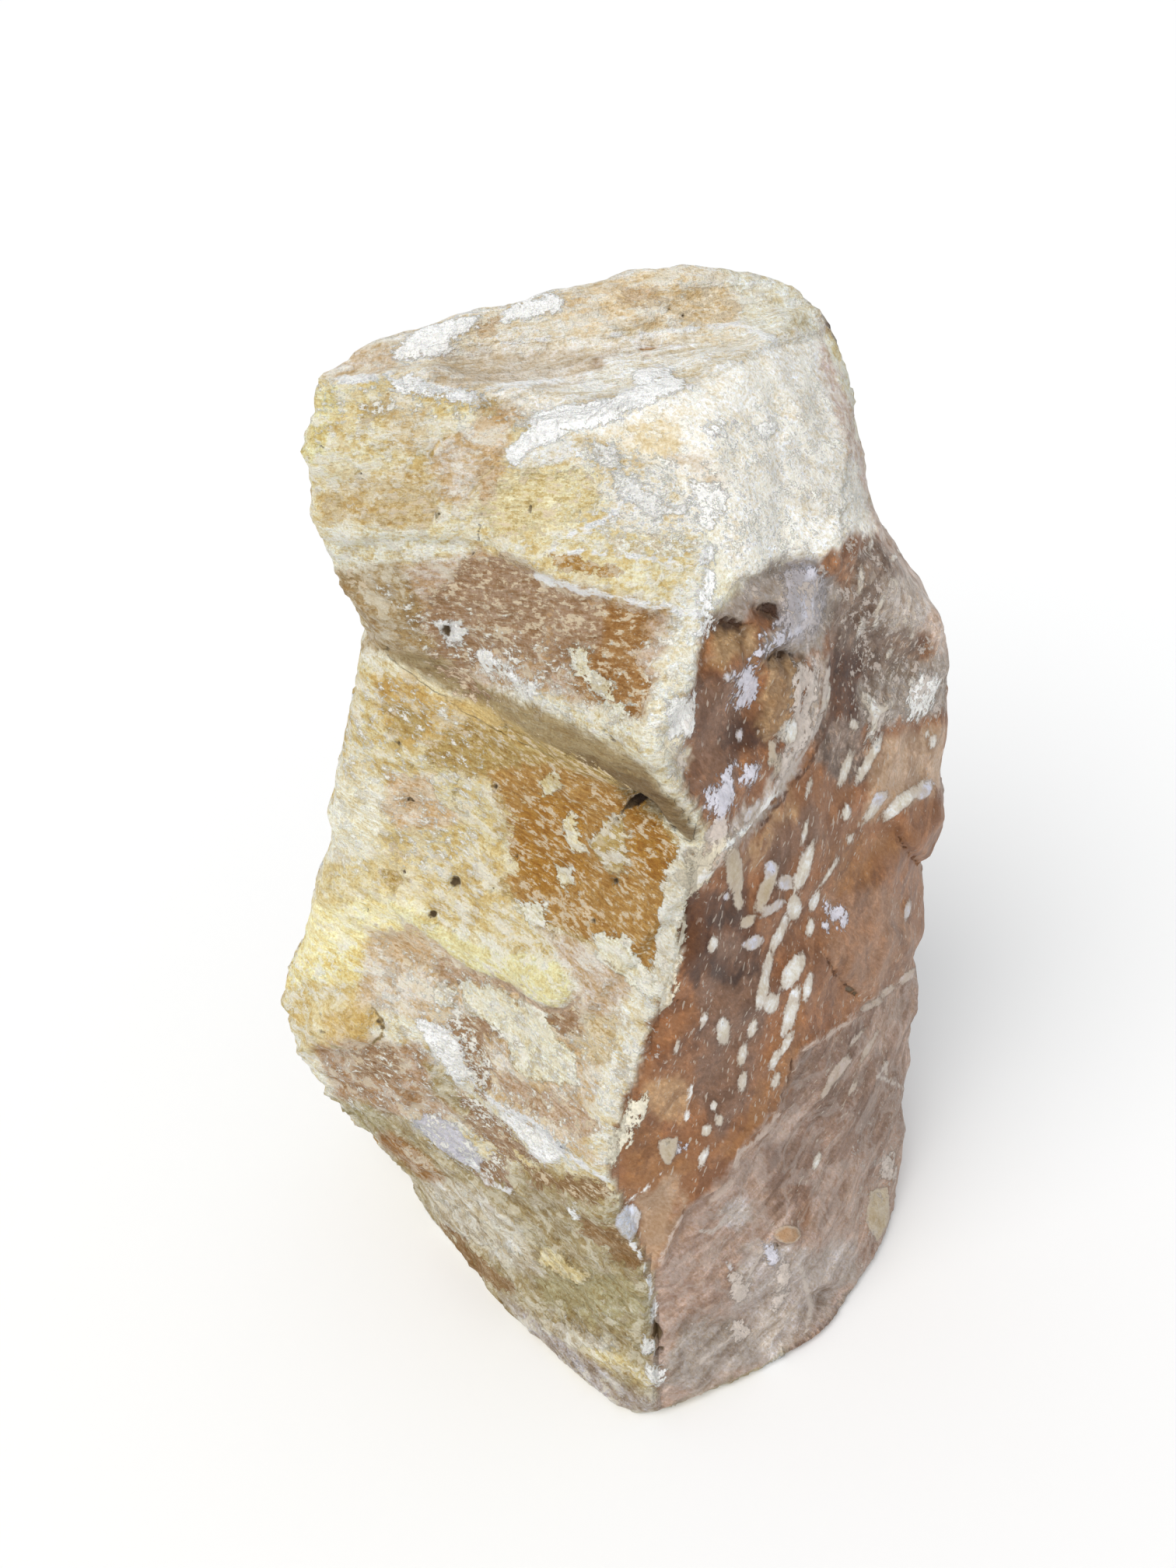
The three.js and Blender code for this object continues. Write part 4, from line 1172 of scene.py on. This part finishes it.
def ledge_rise(pixels, scale, height, reach, line):
    """Rise on one side of a line and fall on the other, dying away from it and at its ends."""
    nearest = np.full(len(pixels), np.inf)
    side = np.zeros(len(pixels))
    for start, end in zip(line, line[1:]):
        distance = segment_distance(pixels, start, end)
        across, down = np.subtract(end, start)
        turn = across * (pixels[:, 1] - start[1]) - down * (pixels[:, 0] - start[0])
        closer = distance < nearest
        nearest = np.where(closer, distance, nearest)
        side = np.where(closer, np.sign(turn), side)
    gap = nearest * scale
    ends = np.minimum(*(np.linalg.norm(pixels - line[end], axis=1) for end in (0, -1))) * scale
    share = smooth_step(gap, *LEDGE_GAP_SPAN) * np.exp(-gap / reach) * smooth_step(ends, *LEDGE_END_SPAN)
    return -height / 2 * side * share


def ribs(points, faces):
    """The stone's broken surface: long ribs along the grain where it is fibrous, lumps where it isn't."""
    brown = faces["brown"]
    fibrous = (1 - brown) * (1 - 0.5 * faces["crown"]) * (1 - 0.6 * faces["shoulder"])
    places = faces | {
        "fibrous": fibrous,
        "low": fibrous * smooth_step(LOW_TOP - points[:, 2], -LOW_EDGE, LOW_EDGE),
        "deep_brown": brown * faces["under"],
        "everywhere": 1.0,
    }
    noises = {name: streak_noise(points, faces, name) for name in ("long_ribs", "fine_ribs", "creases")}
    noises |= {name: lump_noise(points, name) for name in ("lumps", "swell")}
    noises["creases"] = CREASE_TOP - np.abs(noises["creases"]) * CREASE_FALL
    return sum(height * places[place] * noises[noise] for noise, place, height in RELIEF)


def broken_relief(points, faces, pixels, scale, shows):
    """How far each point moves out along its normal, in mm, before anything is painted."""
    rise = ribs(points, faces)
    for height, reach, line in LEDGES:
        rise += ledge_rise(pixels, scale, height, reach, line) * shows
    for height, width, outline in LOBES:
        rise += height * smooth_step(outline_depth(pixels, outline) * scale, -width / 2, width / 2) * shows
    for x, y, width, deep in PITS:
        reach = np.linalg.norm(pixels - (x, y), axis=1) / (width / 2)
        rise -= deep * np.clip(PIT_RIM - reach, 0, 1) * shows
    return rise


def layer_relief(layers):
    """The small steps between the painted layers, in mm."""
    return sum(height * smooth_step(layers[name][0], -LAYER_STEP_EDGE, LAYER_STEP_EDGE)
               for name, (height, _) in LAYERS.items())


def move_out(points, normals, rise):
    """Points moved along their normals, less and less toward the floor."""
    moved = points + normals * (rise * smooth_step(points[:, 2], *FLOOR_SPAN))[:, None]
    moved[:, 2] = np.maximum(moved[:, 2], 0)
    return moved


def set_values(mesh, name, values):
    """A number for each vertex, which the material reads by name."""
    attribute = mesh.attributes.new(name, "FLOAT", "POINT")
    attribute.data.foreach_set("value", values.astype(np.float32))


def set_colours(mesh, name, values):
    """A colour for each vertex, which the material reads by name."""
    attribute = mesh.attributes.new(name, "FLOAT_COLOR", "POINT")
    rgba = np.column_stack([np.clip(values, 0, 1), np.ones(len(values))])
    attribute.data.foreach_set("color", rgba.astype(np.float32).ravel())


def shown_share(points, normals):
    """How much each point belongs to the side that faces the camera, 0 to 1."""
    toward = CAMERA_MM - points
    toward /= np.linalg.norm(toward, axis=1, keepdims=True)
    return smooth_step((normals * toward).sum(1), *SHOWS_SPAN)


def place_in_photo(points, normals, shows):
    """Each point's kinds of face, its pixel, pushed about, and how many mm a pixel covers there."""
    pixels, scale = photo_pixels(points)
    faces = all_faces(points, normals, shows, pixels, scale)
    return faces, wandering_pixels(points, faces, *AREA_WANDER), scale


def make_stone():
    """The visible stone: a fine mesh moved out into broken faces, with its layers as attributes."""
    stone = fine_mesh("calcite_stone")
    mesh = stone.data
    points = read_vectors(mesh.vertices, "co") / MM
    normals = read_vectors(mesh.vertex_normals, "vector")
    shows = shown_share(points, normals)
    faces, pixels, scale = place_in_photo(points, normals, shows)
    rise = broken_relief(points, faces, pixels, scale, shows) - far_facets(points, normals) * (1 - shows)
    points = move_out(points, normals, rise)
    faces, pixels, scale = place_in_photo(points, normals, shows)
    layers = all_layers(points, faces, scale, shows)
    mesh.vertices.foreach_set("co", (move_out(points, normals, layer_relief(layers)) * MM).ravel())
    mesh.update()
    ground = blend_colours(shows, hidden_ground(points, faces), paint_ground(points, faces, scale))
    set_colours(mesh, "ground", ground)
    for name, values in area_amounts(points, faces, pixels, scale, shows).items():
        set_values(mesh, name, values)
    for layer, (depth, colour) in layers.items():
        set_values(mesh, layer, depth)
        set_colours(mesh, layer + "_colour", colour)
    for name, weight in faces.items():
        set_values(mesh, name, weight)
    mesh.shade_smooth()
    return stone


# ---------------------------------------------------------------- the stone's material

# What power of the light each of red, green and blue gets, so that dark parts turn warm.
WARM_POWERS = (0.7, 1.0, 1.6)


class Graph:
    """Short ways to add shader nodes. An input is a number, a colour or another node's output."""

    def __init__(self, tree):
        self.tree = tree

    def fill(self, socket, value):
        """Link another node's output to a socket, or set the socket to a plain value."""
        if isinstance(value, bpy.types.NodeSocket):
            self.tree.links.new(value, socket)
        else:
            socket.default_value = value

    def node(self, kind, inputs=(), **settings):
        """A node of this kind, with its inputs by name or number."""
        node = self.tree.nodes.new(kind)
        for key, value in settings.items():
            setattr(node, key, value)
        for key, value in dict(inputs).items():
            self.fill(node.inputs[key], value)
        return node

    def attribute(self, name, output="Fac"):
        """What the mesh holds under a name."""
        return self.node("ShaderNodeAttribute", attribute_name=name).outputs[output]

    def math(self, operation, first, second=0.0, third=0.0, clamp=False):
        """One operation on numbers."""
        inputs = {0: first, 1: second, 2: third}
        return self.node("ShaderNodeMath", inputs, operation=operation, use_clamp=clamp).outputs[0]

    def total(self, *values):
        """All the values added up."""
        return functools.reduce(functools.partial(self.math, "ADD"), values)

    def product(self, *values):
        """All the values multiplied."""
        return functools.reduce(functools.partial(self.math, "MULTIPLY"), values)

    def rest(self, value, amount=1.0, clamp=False):
        """One less this amount of the value."""
        return self.math("MULTIPLY_ADD", value, -amount, 1.0, clamp)

    def swing(self, value, amount, base=1.0):
        """A noise's swing about its middle, made this strong, about base."""
        return self.math("MULTIPLY_ADD", value, amount, base - amount / 2)

    def vectors(self, operation, first, second, output=0):
        """One operation on two vectors, or on a vector and its scale."""
        key = "Scale" if operation == "SCALE" else 1
        return self.node("ShaderNodeVectorMath", {0: first, key: second}, operation=operation).outputs[output]

    def scaled(self, vector, factors):
        """A vector or a colour with each of its parts multiplied."""
        return self.vectors("MULTIPLY", vector, factors)

    def brighten(self, colour, factor):
        """A colour multiplied by one number."""
        return self.vectors("SCALE", colour, factor)

    def dot(self, vector, way):
        """How far the vector reaches along the way."""
        return self.vectors("DOT_PRODUCT", vector, way, "Value")

    def noise(self, vector, detail, roughness, distortion):
        """Noise with its largest lumps one across, about a middle of 0.5."""
        inputs = {"Vector": vector, "Scale": 1.0, "Detail": detail, "Roughness": roughness,
                  "Distortion": distortion}
        return self.node("ShaderNodeTexNoise", inputs).outputs["Fac"]

    def ramp(self, value, low, high, start=0.0, end=1.0):
        """From start where the value is low to end where it is high, with soft ends."""
        inputs = {"Value": value, "From Min": low, "From Max": high, "To Min": start, "To Max": end}
        return self.node("ShaderNodeMapRange", inputs, interpolation_type="SMOOTHSTEP").outputs[0]

    def mixed(self, kind, share, first, second):
        """A Mix node's result. Its sockets are told apart by identifier, since several share a name."""
        node = self.node("ShaderNodeMix", data_type=kind)
        sockets = {socket.identifier: socket for socket in (*node.inputs, *node.outputs)}
        ending = {"RGBA": "Color", "VECTOR": "Vector", "FLOAT": "Float"}[kind]
        self.fill(sockets["Factor_Float"], share)
        self.fill(sockets["A_" + ending], first)
        self.fill(sockets["B_" + ending], second)
        return sockets["Result_" + ending]

    def mix(self, share, first, second):
        """From the first colour to the second."""
        return self.mixed("RGBA", share, first, second)

    def blend(self, share, first, second):
        """From the first number to the second."""
        return self.mixed("FLOAT", share, first, second)

    def pick(self, share, first, second):
        """The second vector where share is over a half, else the first."""
        return self.mixed("VECTOR", self.math("GREATER_THAN", share, 0.5), first, second)

    def tinted(self, share, colour, factors):
        """A colour multiplied by the factors where share is 1."""
        return self.mix(share, colour, self.scaled(colour, factors))

    def warm_shade(self, colour, light):
        """Colour times light, with the dark parts turned warm and the light parts pale."""
        parts = {axis: self.math("POWER", light, power) for axis, power in enumerate(WARM_POWERS)}
        return self.scaled(colour, self.node("ShaderNodeCombineXYZ", parts).outputs[0])


def turned(g, place, way):
    """Place in axes along the grain, over it and beside it."""
    parts = {axis: g.dot(place, tuple(row)) for axis, row in enumerate(grain_axes(way))}
    return g.node("ShaderNodeCombineXYZ", parts).outputs[0]


def slant_place(g, place, faces):
    """Place with half of the brown face's slant taken out, which makes its blotches long that way."""
    half_down = g.product(g.dot(place, SLANT), -0.5)
    slanted = g.vectors("ADD", place, g.vectors("SCALE", SLANT, half_down))
    return g.pick(faces["brown"], place, slanted)


def grain_place(g, place, faces):
    """Place in axes that follow each face's own grain."""
    level, leaning, climbing, over, sinking, rising = (turned(g, place, way) for way in GRAIN.values())
    side = g.pick(faces["foot"], g.pick(faces["band"], level, rising), sinking)
    brown = g.pick(faces["under"], leaning, climbing)
    return g.pick(faces["crown"], g.pick(faces["brown"], side, brown), over)


# Noises in the material: the place that each is read in, its lumps to the mm along each axis, and its
# detail, roughness and distortion.
NOISES = {
    "hair": ("grain", (0.30, 2.4, 1.0), 3.0, 0.6, 0.0),
    "fleck": ("grain", (0.50, 1.10, 0.90), 5.0, 0.70, 0.0),
    "crumble": ("grain", (0.19, 0.36, 0.30), 7.0, 0.70, 0.0),
    "streak": ("grain", (0.05, 0.55, 0.55), 4.0, 0.6, 0.0),
    "smear": ("grain", (0.045, 0.26, 0.20), 4.0, 0.6, 0.5),
    "tiny": ("grain", (0.55, 1.5, 1.5), 1.0, 0.5, 0.0),
    "ragged": ("slanted", (0.34, 0.34, 0.34), 5.0, 0.66, 0.0),
    "blotch": ("slanted", (0.13, 0.13, 0.13), 6.0, 0.64, 0.0),
    "grit": ("slanted", (1.9, 1.9, 1.9), 3.0, 0.62, 0.0),
    "speck": ("slanted", (0.75, 0.75, 0.75), 4.0, 0.68, 0.0),
    "flow": ("plain", (0.10, 0.10, 0.07), 3.0, 0.55, 1.6),
    "vein": ("plain", (0.09, 0.09, 0.09), 4.0, 0.6, 0.8),
}

# How each layer's edge breaks up: how much the noise shakes it, how soft it is, the depth beyond which it
# counts as no deeper, and how much the fine grit shakes it, all in mm.
EDGES = {
    "inlay": (1.7, 0.22, 1.9, 0.6),
    "island": (0.9, 0.18, 1.3, 0.4),
    "tongue": (0.3, 0.2, DEPTH_LIMIT, 0.0),
    "crust": (0.8, 0.3, 1.1, 0.7),
    "cell": (0.18, 0.15, 1.0, 0.25),
    "line": (0.4, 0.25, DEPTH_LIMIT, 0.0),
    "dark": (0.2, 0.2, DEPTH_LIMIT, 0.3),
}
BROWN_CRUST_SHAKE = 1.3

# Markings of the ground, in the order they go on: how, the noise, the values at which it starts and is
# full, the mask it stays in, how strong it is, and what it multiplies the colour by or covers it with.
MARKINGS = [
    # steps of ochre and cream, flecks and a white film on the pale faces
    ("tint", "crumble", 0.470, 0.455, "stained", 0.7, (0.88, 0.75, 0.50)),
    ("cover", "crumble", 0.53, 0.545, "filmed", 1.0, (0.92, 0.90, 0.82)),
    ("tint", "fleck", 0.45, 0.435, "stained", 0.6, (0.88, 0.77, 0.54)),
    ("cover", "film", 0.535, 0.55, "filmed", 1.0, (0.94, 0.91, 0.81)),
    # long thin ridges on the crown and the foot: painted highlight on their tops, painted shade in the
    # furrows between
    ("tint", "streak", 0.54, 0.60, "streaky", 0.8, (1.14, 1.17, 1.24)),
    ("tint", "streak", 0.47, 0.40, "streaky", 0.8, (0.84, 0.77, 0.64)),
    # a pale bluish bloom on the brown face, dust with a painted sheen; dark flows and warm patches on it
    ("tint", "ragged", 0.52, 0.60, "brown", 0.4, (1.5, 1.52, 1.54)),
    ("tint", "flow", 0.51, 0.58, "waxy", 0.75, (0.66, 0.60, 0.55)),
    ("tint", "blotch", 0.53, 0.60, "waxy", 0.5, (1.12, 1.0, 0.84)),
    # dark and pale blotches where the stone is mottled, and small specks where it is brown too
    ("tint", "mottling", 0.53, 0.585, "mottle", 0.9, (0.62, 0.54, 0.45)),
    ("tint", "mottling", 0.455, 0.405, "mottled_brown", 0.8, (1.5, 1.52, 1.54)),
    ("cover", "mottling", 0.455, 0.405, "mottled_clear", 0.8, (0.82, 0.77, 0.62)),
    ("tint", "speck", 0.47, 0.41, "speckled", 1.0, (0.68, 0.62, 0.56)),
    ("tint", "speck", 0.555, 0.60, "speckled", 1.0, (1.7, 1.72, 1.75)),
    # stains, soft streaks and pale veins in the mauve layer
    ("tint", "stain", 0.05, 0.35, "under", 0.7, (0.76, 0.70, 0.66)),
    ("tint", "smear", 0.52, 0.62, "under", 1.0, (1.28, 1.32, 1.36)),
    ("tint", "smear", 0.46, 0.37, "under", 1.0, (0.76, 0.72, 0.68)),
    ("cover", "veins", 0.35, 0.95, "under", 0.25, (0.56, 0.50, 0.46)),
]

INLAY_FLECKS = (0.80, 0.69, 0.50)
INLAY_CRUMBS = (0.74, 0.60, 0.40, 1)
INLAY_PALE_CRUMBS = (0.74, 0.61, 0.43, 1)
TINY_CELL = (0.52, 0.44, 0.36, 1)
CELL_OUTLINE = (0.70, 0.64, 0.58)
CELL_EDGE = (0.54, 0.45, 0.36, 1)
PALE_CRUMBS = (0.95, 0.93, 0.85, 1)
BROWN_CRUMBS = (0.54, 0.46, 0.40, 1)
LUMINANCE = (0.3, 0.6, 0.1)
BUMP_MM = 1.3


def stone_noises(g, faces):
    """Every noise by name, with the ones that are worked out from others."""
    place = g.scaled(g.node("ShaderNodeTexCoord").outputs["Object"], (1 / MM,) * 3)
    places = {"plain": place, "grain": grain_place(g, place, faces), "slanted": slant_place(g, place, faces)}
    noises = {name: g.noise(g.scaled(places[kind], density), *settings)
              for name, (kind, density, *settings) in NOISES.items()}
    ragged, fleck = noises["ragged"], noises["fleck"]
    blotches = g.math("MULTIPLY_ADD", g.attribute("blotch"), 0.28, 0.5)
    off_vein = g.math("ABSOLUTE", g.math("SUBTRACT", noises["vein"], 0.5))
    wide = g.total(g.swing(fleck, 4.0, 0.0), g.swing(ragged, 3.0, 0.0), g.swing(noises["crumble"], 4.0, 0.0))
    return noises | {
        "mottling": g.total(blotches, g.swing(ragged, 0.8, 0.0)),
        "film": g.total(g.product(ragged, 0.4), g.product(fleck, 0.6)),
        "veins": g.rest(off_vein, 9.0),
        "stain": g.attribute("stain"),
        "wide": wide,
    }


def stone_covers(g, brown, noises):
    """Where each layer lies: its drawn depth, held to a limit and shaken by noise until it breaks up."""
    grit_shake = g.swing(noises["grit"], 2.0, 0.0)
    covers = {}
    for layer, (shake, softness, deepest, crumbs) in EDGES.items():
        if layer == "crust":
            shake = g.blend(brown, shake, BROWN_CRUST_SHAKE)
        depth = g.math("MINIMUM", g.attribute(layer), deepest)
        depth = g.math("MULTIPLY_ADD", noises["wide"], shake, depth)
        depth = g.math("MULTIPLY_ADD", grit_shake, crumbs, depth)
        covers[layer] = g.ramp(depth, -softness, softness)
    return covers


def stone_masks(g, faces, noises, covers):
    """Where each kind of marking may lie, 0 to 1."""
    brown, under, shoulder = faces["brown"], faces["under"], faces["shoulder"]
    clean, mottle = g.attribute("clean"), g.attribute("mottle")
    clear = g.product(g.rest(brown), g.rest(clean))
    # Where ridges get painted highlights and furrows painted shade, and where the bump gets its streaks.
    streaky = g.math("MAXIMUM", g.product(faces["crown"], 0.7), faces["foot"])
    streaky = g.math("MAXIMUM", g.product(g.ramp(clean, 0.7, 0.85), 0.8), streaky)
    solid = g.math("MAXIMUM", covers["island"], covers["tongue"])
    calm = g.total(g.product(shoulder, 0.75), g.product(streaky, 0.55))
    bright = g.dot(g.attribute("ground", "Color"), LUMINANCE)
    waxy = g.product(brown, g.rest(under, 0.5))
    coarse = g.rest(waxy)
    crumbly = g.math("MULTIPLY_ADD", clear, 0.8, g.product(coarse, 0.2))
    return {
        "brown": brown,
        "under": under,
        "waxy": waxy,
        "clear": clear,
        "streaky": streaky,
        "fibrous": g.product(g.rest(brown), g.rest(shoulder, 0.8)),
        "stained": g.product(clear, g.rest(solid, 0.6), g.rest(calm, clamp=True)),
        "filmed": g.product(clear, g.ramp(bright, 0.35, 0.65, 0.25, 0.6)),
        "mottle": mottle,
        "mottled_brown": g.product(mottle, brown),
        "mottled_clear": g.product(mottle, clear),
        "speckled": g.product(mottle, g.math("MULTIPLY_ADD", under, -0.25, brown)),
        "crumbly": g.product(crumbly, g.rest(shoulder, 0.55)),
        "even": g.math("MAXIMUM", waxy, g.product(shoulder, 0.6)),
    }


def ground_colour(g, noises, masks, covers):
    """The ground with its islands, lit and dark along the grain, under all its markings."""
    hair, brown = noises["hair"], masks["brown"]
    pale_light = g.product(g.blend(masks["fibrous"], g.swing(hair, 0.4), g.swing(hair, 0.7)),
                           g.swing(noises["fleck"], 0.7, 1.06))
    light = g.product(g.blend(brown, pale_light, g.swing(noises["ragged"], 0.5)),
                      g.swing(noises["blotch"], 0.4), g.swing(noises["grit"], 1.15))
    colour = g.mix(covers["tongue"], g.attribute("ground", "Color"), g.attribute("tongue_colour", "Color"))
    colour = g.mix(covers["island"], colour, g.attribute("island_colour", "Color"))
    colour = g.warm_shade(colour, light)
    for how, noise, start, full, mask, strength, shade in MARKINGS:
        share = g.product(g.ramp(noises[noise], start, full), masks[mask], strength)
        colour = g.tinted(share, colour, shade) if how == "tint" else g.mix(share, colour, (*shade, 1))
    return colour


def inlay_colour(g, faces, noises):
    """The brown and amber inlays, with dark flecks and pale crumbs."""
    light = g.product(g.swing(noises["hair"], 1.4), g.swing(noises["grit"], 1.1),
                      g.swing(noises["blotch"], 0.6))
    colour = g.warm_shade(g.attribute("inlay_colour", "Color"), light)
    colour = g.tinted(g.product(g.ramp(noises["fleck"], 0.46, 0.445), 0.9), colour, INLAY_FLECKS)
    pale = g.total(g.product(noises["fleck"], 0.7), g.product(noises["crumble"], 0.3))
    pale = g.math("MULTIPLY_ADD", faces["foot"], -0.02, pale)
    plain = g.rest(faces["foot"], 0.7)
    colour = g.mix(g.product(g.ramp(pale, 0.515, 0.53), 0.32, plain), colour, INLAY_CRUMBS)
    return g.mix(g.product(g.ramp(pale, 0.540, 0.552), 0.85, plain), colour, INLAY_PALE_CRUMBS)


def crust_colour(g, noises, masks):
    """The white crust, dull in places on the brown face."""
    ragged = noises["ragged"]
    light = g.product(g.swing(noises["grit"], 0.9, 1.1),
                      g.blend(masks["brown"], g.swing(ragged, 0.5), g.swing(ragged, 1.2)))
    return g.brighten(g.attribute("crust_colour", "Color"), light)


def add_cells(g, colour, noises, masks, covers):
    """Tiny cells strewn about the large ones, which have a thin dark outline and a darker edge."""
    depth = g.attribute("cell")
    tiny = g.product(g.ramp(noises["tiny"], 0.66, 0.68), g.ramp(depth, -4.0, -1.5), masks["brown"])
    colour = g.mix(g.product(tiny, 0.7), colour, TINY_CELL)
    around = g.ramp(g.math("MULTIPLY_ADD", noises["wide"], 0.35, depth), -0.6, -0.1)
    colour = g.tinted(g.product(around, 0.4), colour, CELL_OUTLINE)
    light = g.product(g.swing(noises["grit"], 0.7), g.swing(noises["ragged"], 1.4))
    filling = g.warm_shade(g.attribute("cell_colour", "Color"), light)
    heart = g.ramp(g.math("MULTIPLY_ADD", noises["wide"], 0.5, depth), 0.0, 0.9, 0.25, 1.0)
    return g.mix(covers["cell"], colour, g.mix(heart, CELL_EDGE, filling))


def stone_crumbs(g, noises, masks):
    """Where white crumbs lie: thickly where the stone is dusted."""
    crumb = g.total(g.product(g.blend(masks["brown"], noises["fleck"], noises["speck"]), 0.45),
                    g.product(noises["ragged"], 0.3), g.product(noises["grit"], 0.25),
                    g.product(g.attribute("dust"), 0.12))
    return g.product(g.ramp(crumb, 0.60, 0.63), g.rest(g.attribute("clean")))


def stone_colour(g, faces, noises, masks, covers, crumbs):
    """The layers in the order they lie, from the ground up."""
    colour = ground_colour(g, noises, masks, covers)
    bare_inlay = g.product(covers["inlay"], g.rest(covers["island"]))
    colour = g.mix(bare_inlay, colour, inlay_colour(g, faces, noises))
    colour = g.mix(g.product(covers["crust"], 0.95), colour, crust_colour(g, noises, masks))
    colour = add_cells(g, colour, noises, masks, covers)
    colour = g.mix(g.product(crumbs, 0.85), colour, g.mix(masks["brown"], PALE_CRUMBS, BROWN_CRUMBS))
    for layer in ("line", "dark"):
        colour = g.mix(covers[layer], colour, g.attribute(layer + "_colour", "Color"))
    return colour


def stone_bump(g, noises, masks, covers, crumbs):
    """The grain too fine for the mesh."""
    film = g.product(g.ramp(noises["film"], 0.535, 0.55), masks["filmed"])
    height = g.total(
        g.product(noises["hair"], masks["fibrous"], 0.25),
        g.product(noises["fleck"], masks["crumbly"], 0.35),
        g.product(noises["crumble"], masks["crumbly"]),
        g.product(noises["streak"], masks["streaky"], 1.3),
        g.product(noises["ragged"], g.blend(masks["even"], 0.9, 0.25)),
        g.product(noises["grit"], g.blend(masks["even"], 0.36, 0.05)),
        g.product(film, 0.08),
        g.product(crumbs, 0.12),
        g.product(covers["island"], 0.15),
        g.product(covers["cell"], 0.12),
        g.product(covers["crust"], 0.15),
        g.product(covers["inlay"], -0.12),
        g.product(covers["dark"], -0.25),
    )
    settings = {"Strength": 1.0, "Distance": MM, "Height": g.product(height, BUMP_MM)}
    return g.node("ShaderNodeBump", settings).outputs[0]


def stone_material():
    """The one material of the stone."""
    material = bpy.data.materials.new("honeycomb_calcite")
    material.use_nodes = True
    tree = material.node_tree
    tree.nodes.clear()
    g = Graph(tree)
    faces = {name: g.attribute(name) for name in FACES}
    noises = stone_noises(g, faces)
    covers = stone_covers(g, faces["brown"], noises)
    masks = stone_masks(g, faces, noises, covers)
    crumbs = stone_crumbs(g, noises, masks)
    shader = g.node("ShaderNodeBsdfPrincipled", {
        "Base Color": stone_colour(g, faces, noises, masks, covers, crumbs),
        "Roughness": g.blend(masks["waxy"], 0.66, 0.42),
        "IOR": 1.5,
        "Specular IOR Level": 0.3,
        "Normal": stone_bump(g, noises, masks, covers, crumbs),
        "Subsurface Weight": 0.10,
        "Subsurface Radius": (1.0, 0.75, 0.45),
        "Subsurface Scale": 1.5 * MM,
    })
    output = g.node("ShaderNodeOutputMaterial")
    tree.links.new(shader.outputs[0], output.inputs["Surface"])
    return material


# ---------------------------------------------------------------- floor and light

FLOOR_RADIUS = 6.0
FLOOR_SIDES = 96
FLOOR_COLOUR = (0.92, 0.92, 0.92, 1)
FLOOR_ROUGHNESS = 0.9
SKY_COLOUR = (0.96, 0.98, 1.0, 1)
SKY_STRENGTH = 0.64
KEY_PLACE = (-0.5, -0.7, 1.05)
KEY_SPREAD = 40
KEY_STRENGTH = 2.0
KEY_COLOUR = (1.0, 0.985, 0.96)


def add_floor():
    """A plain pale floor at height 0."""
    bpy.ops.mesh.primitive_circle_add(vertices=FLOOR_SIDES, radius=FLOOR_RADIUS, fill_type="NGON")
    floor = bpy.context.object
    floor.name = "floor"
    material = bpy.data.materials.new("floor")
    material.use_nodes = True
    shader = material.node_tree.nodes["Principled BSDF"]
    shader.inputs["Base Color"].default_value = FLOOR_COLOUR
    shader.inputs["Roughness"].default_value = FLOOR_ROUGHNESS
    floor.data.materials.append(material)


def add_key_light():
    """A soft light from far away, up on the left and in front."""
    data = bpy.data.lights.new("key", "SUN")
    data.angle = math.radians(KEY_SPREAD)
    data.energy = KEY_STRENGTH
    data.color = KEY_COLOUR
    lamp = bpy.data.objects.new("key", data)
    lamp.location = KEY_PLACE
    across, back, up = KEY_PLACE
    tilt = math.atan2(math.hypot(across, back), up)
    lamp.rotation_euler = (tilt, 0, math.atan2(back, across) + math.pi / 2)
    bpy.context.scene.collection.objects.link(lamp)


def add_world():
    """An even, pale sky, as in a studio."""
    world = bpy.data.worlds.new("studio")
    world.use_nodes = True
    background = world.node_tree.nodes["Background"]
    background.inputs["Color"].default_value = SKY_COLOUR
    background.inputs["Strength"].default_value = SKY_STRENGTH
    bpy.context.scene.world = world


# ---------------------------------------------------------------- all together

add_camera()
stone = make_stone()
stone.data.materials.append(stone_material())
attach(stone, "root")
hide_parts(NODE)
add_floor()
add_world()
add_key_light()
bpy.context.scene.view_settings.view_transform = "Standard"
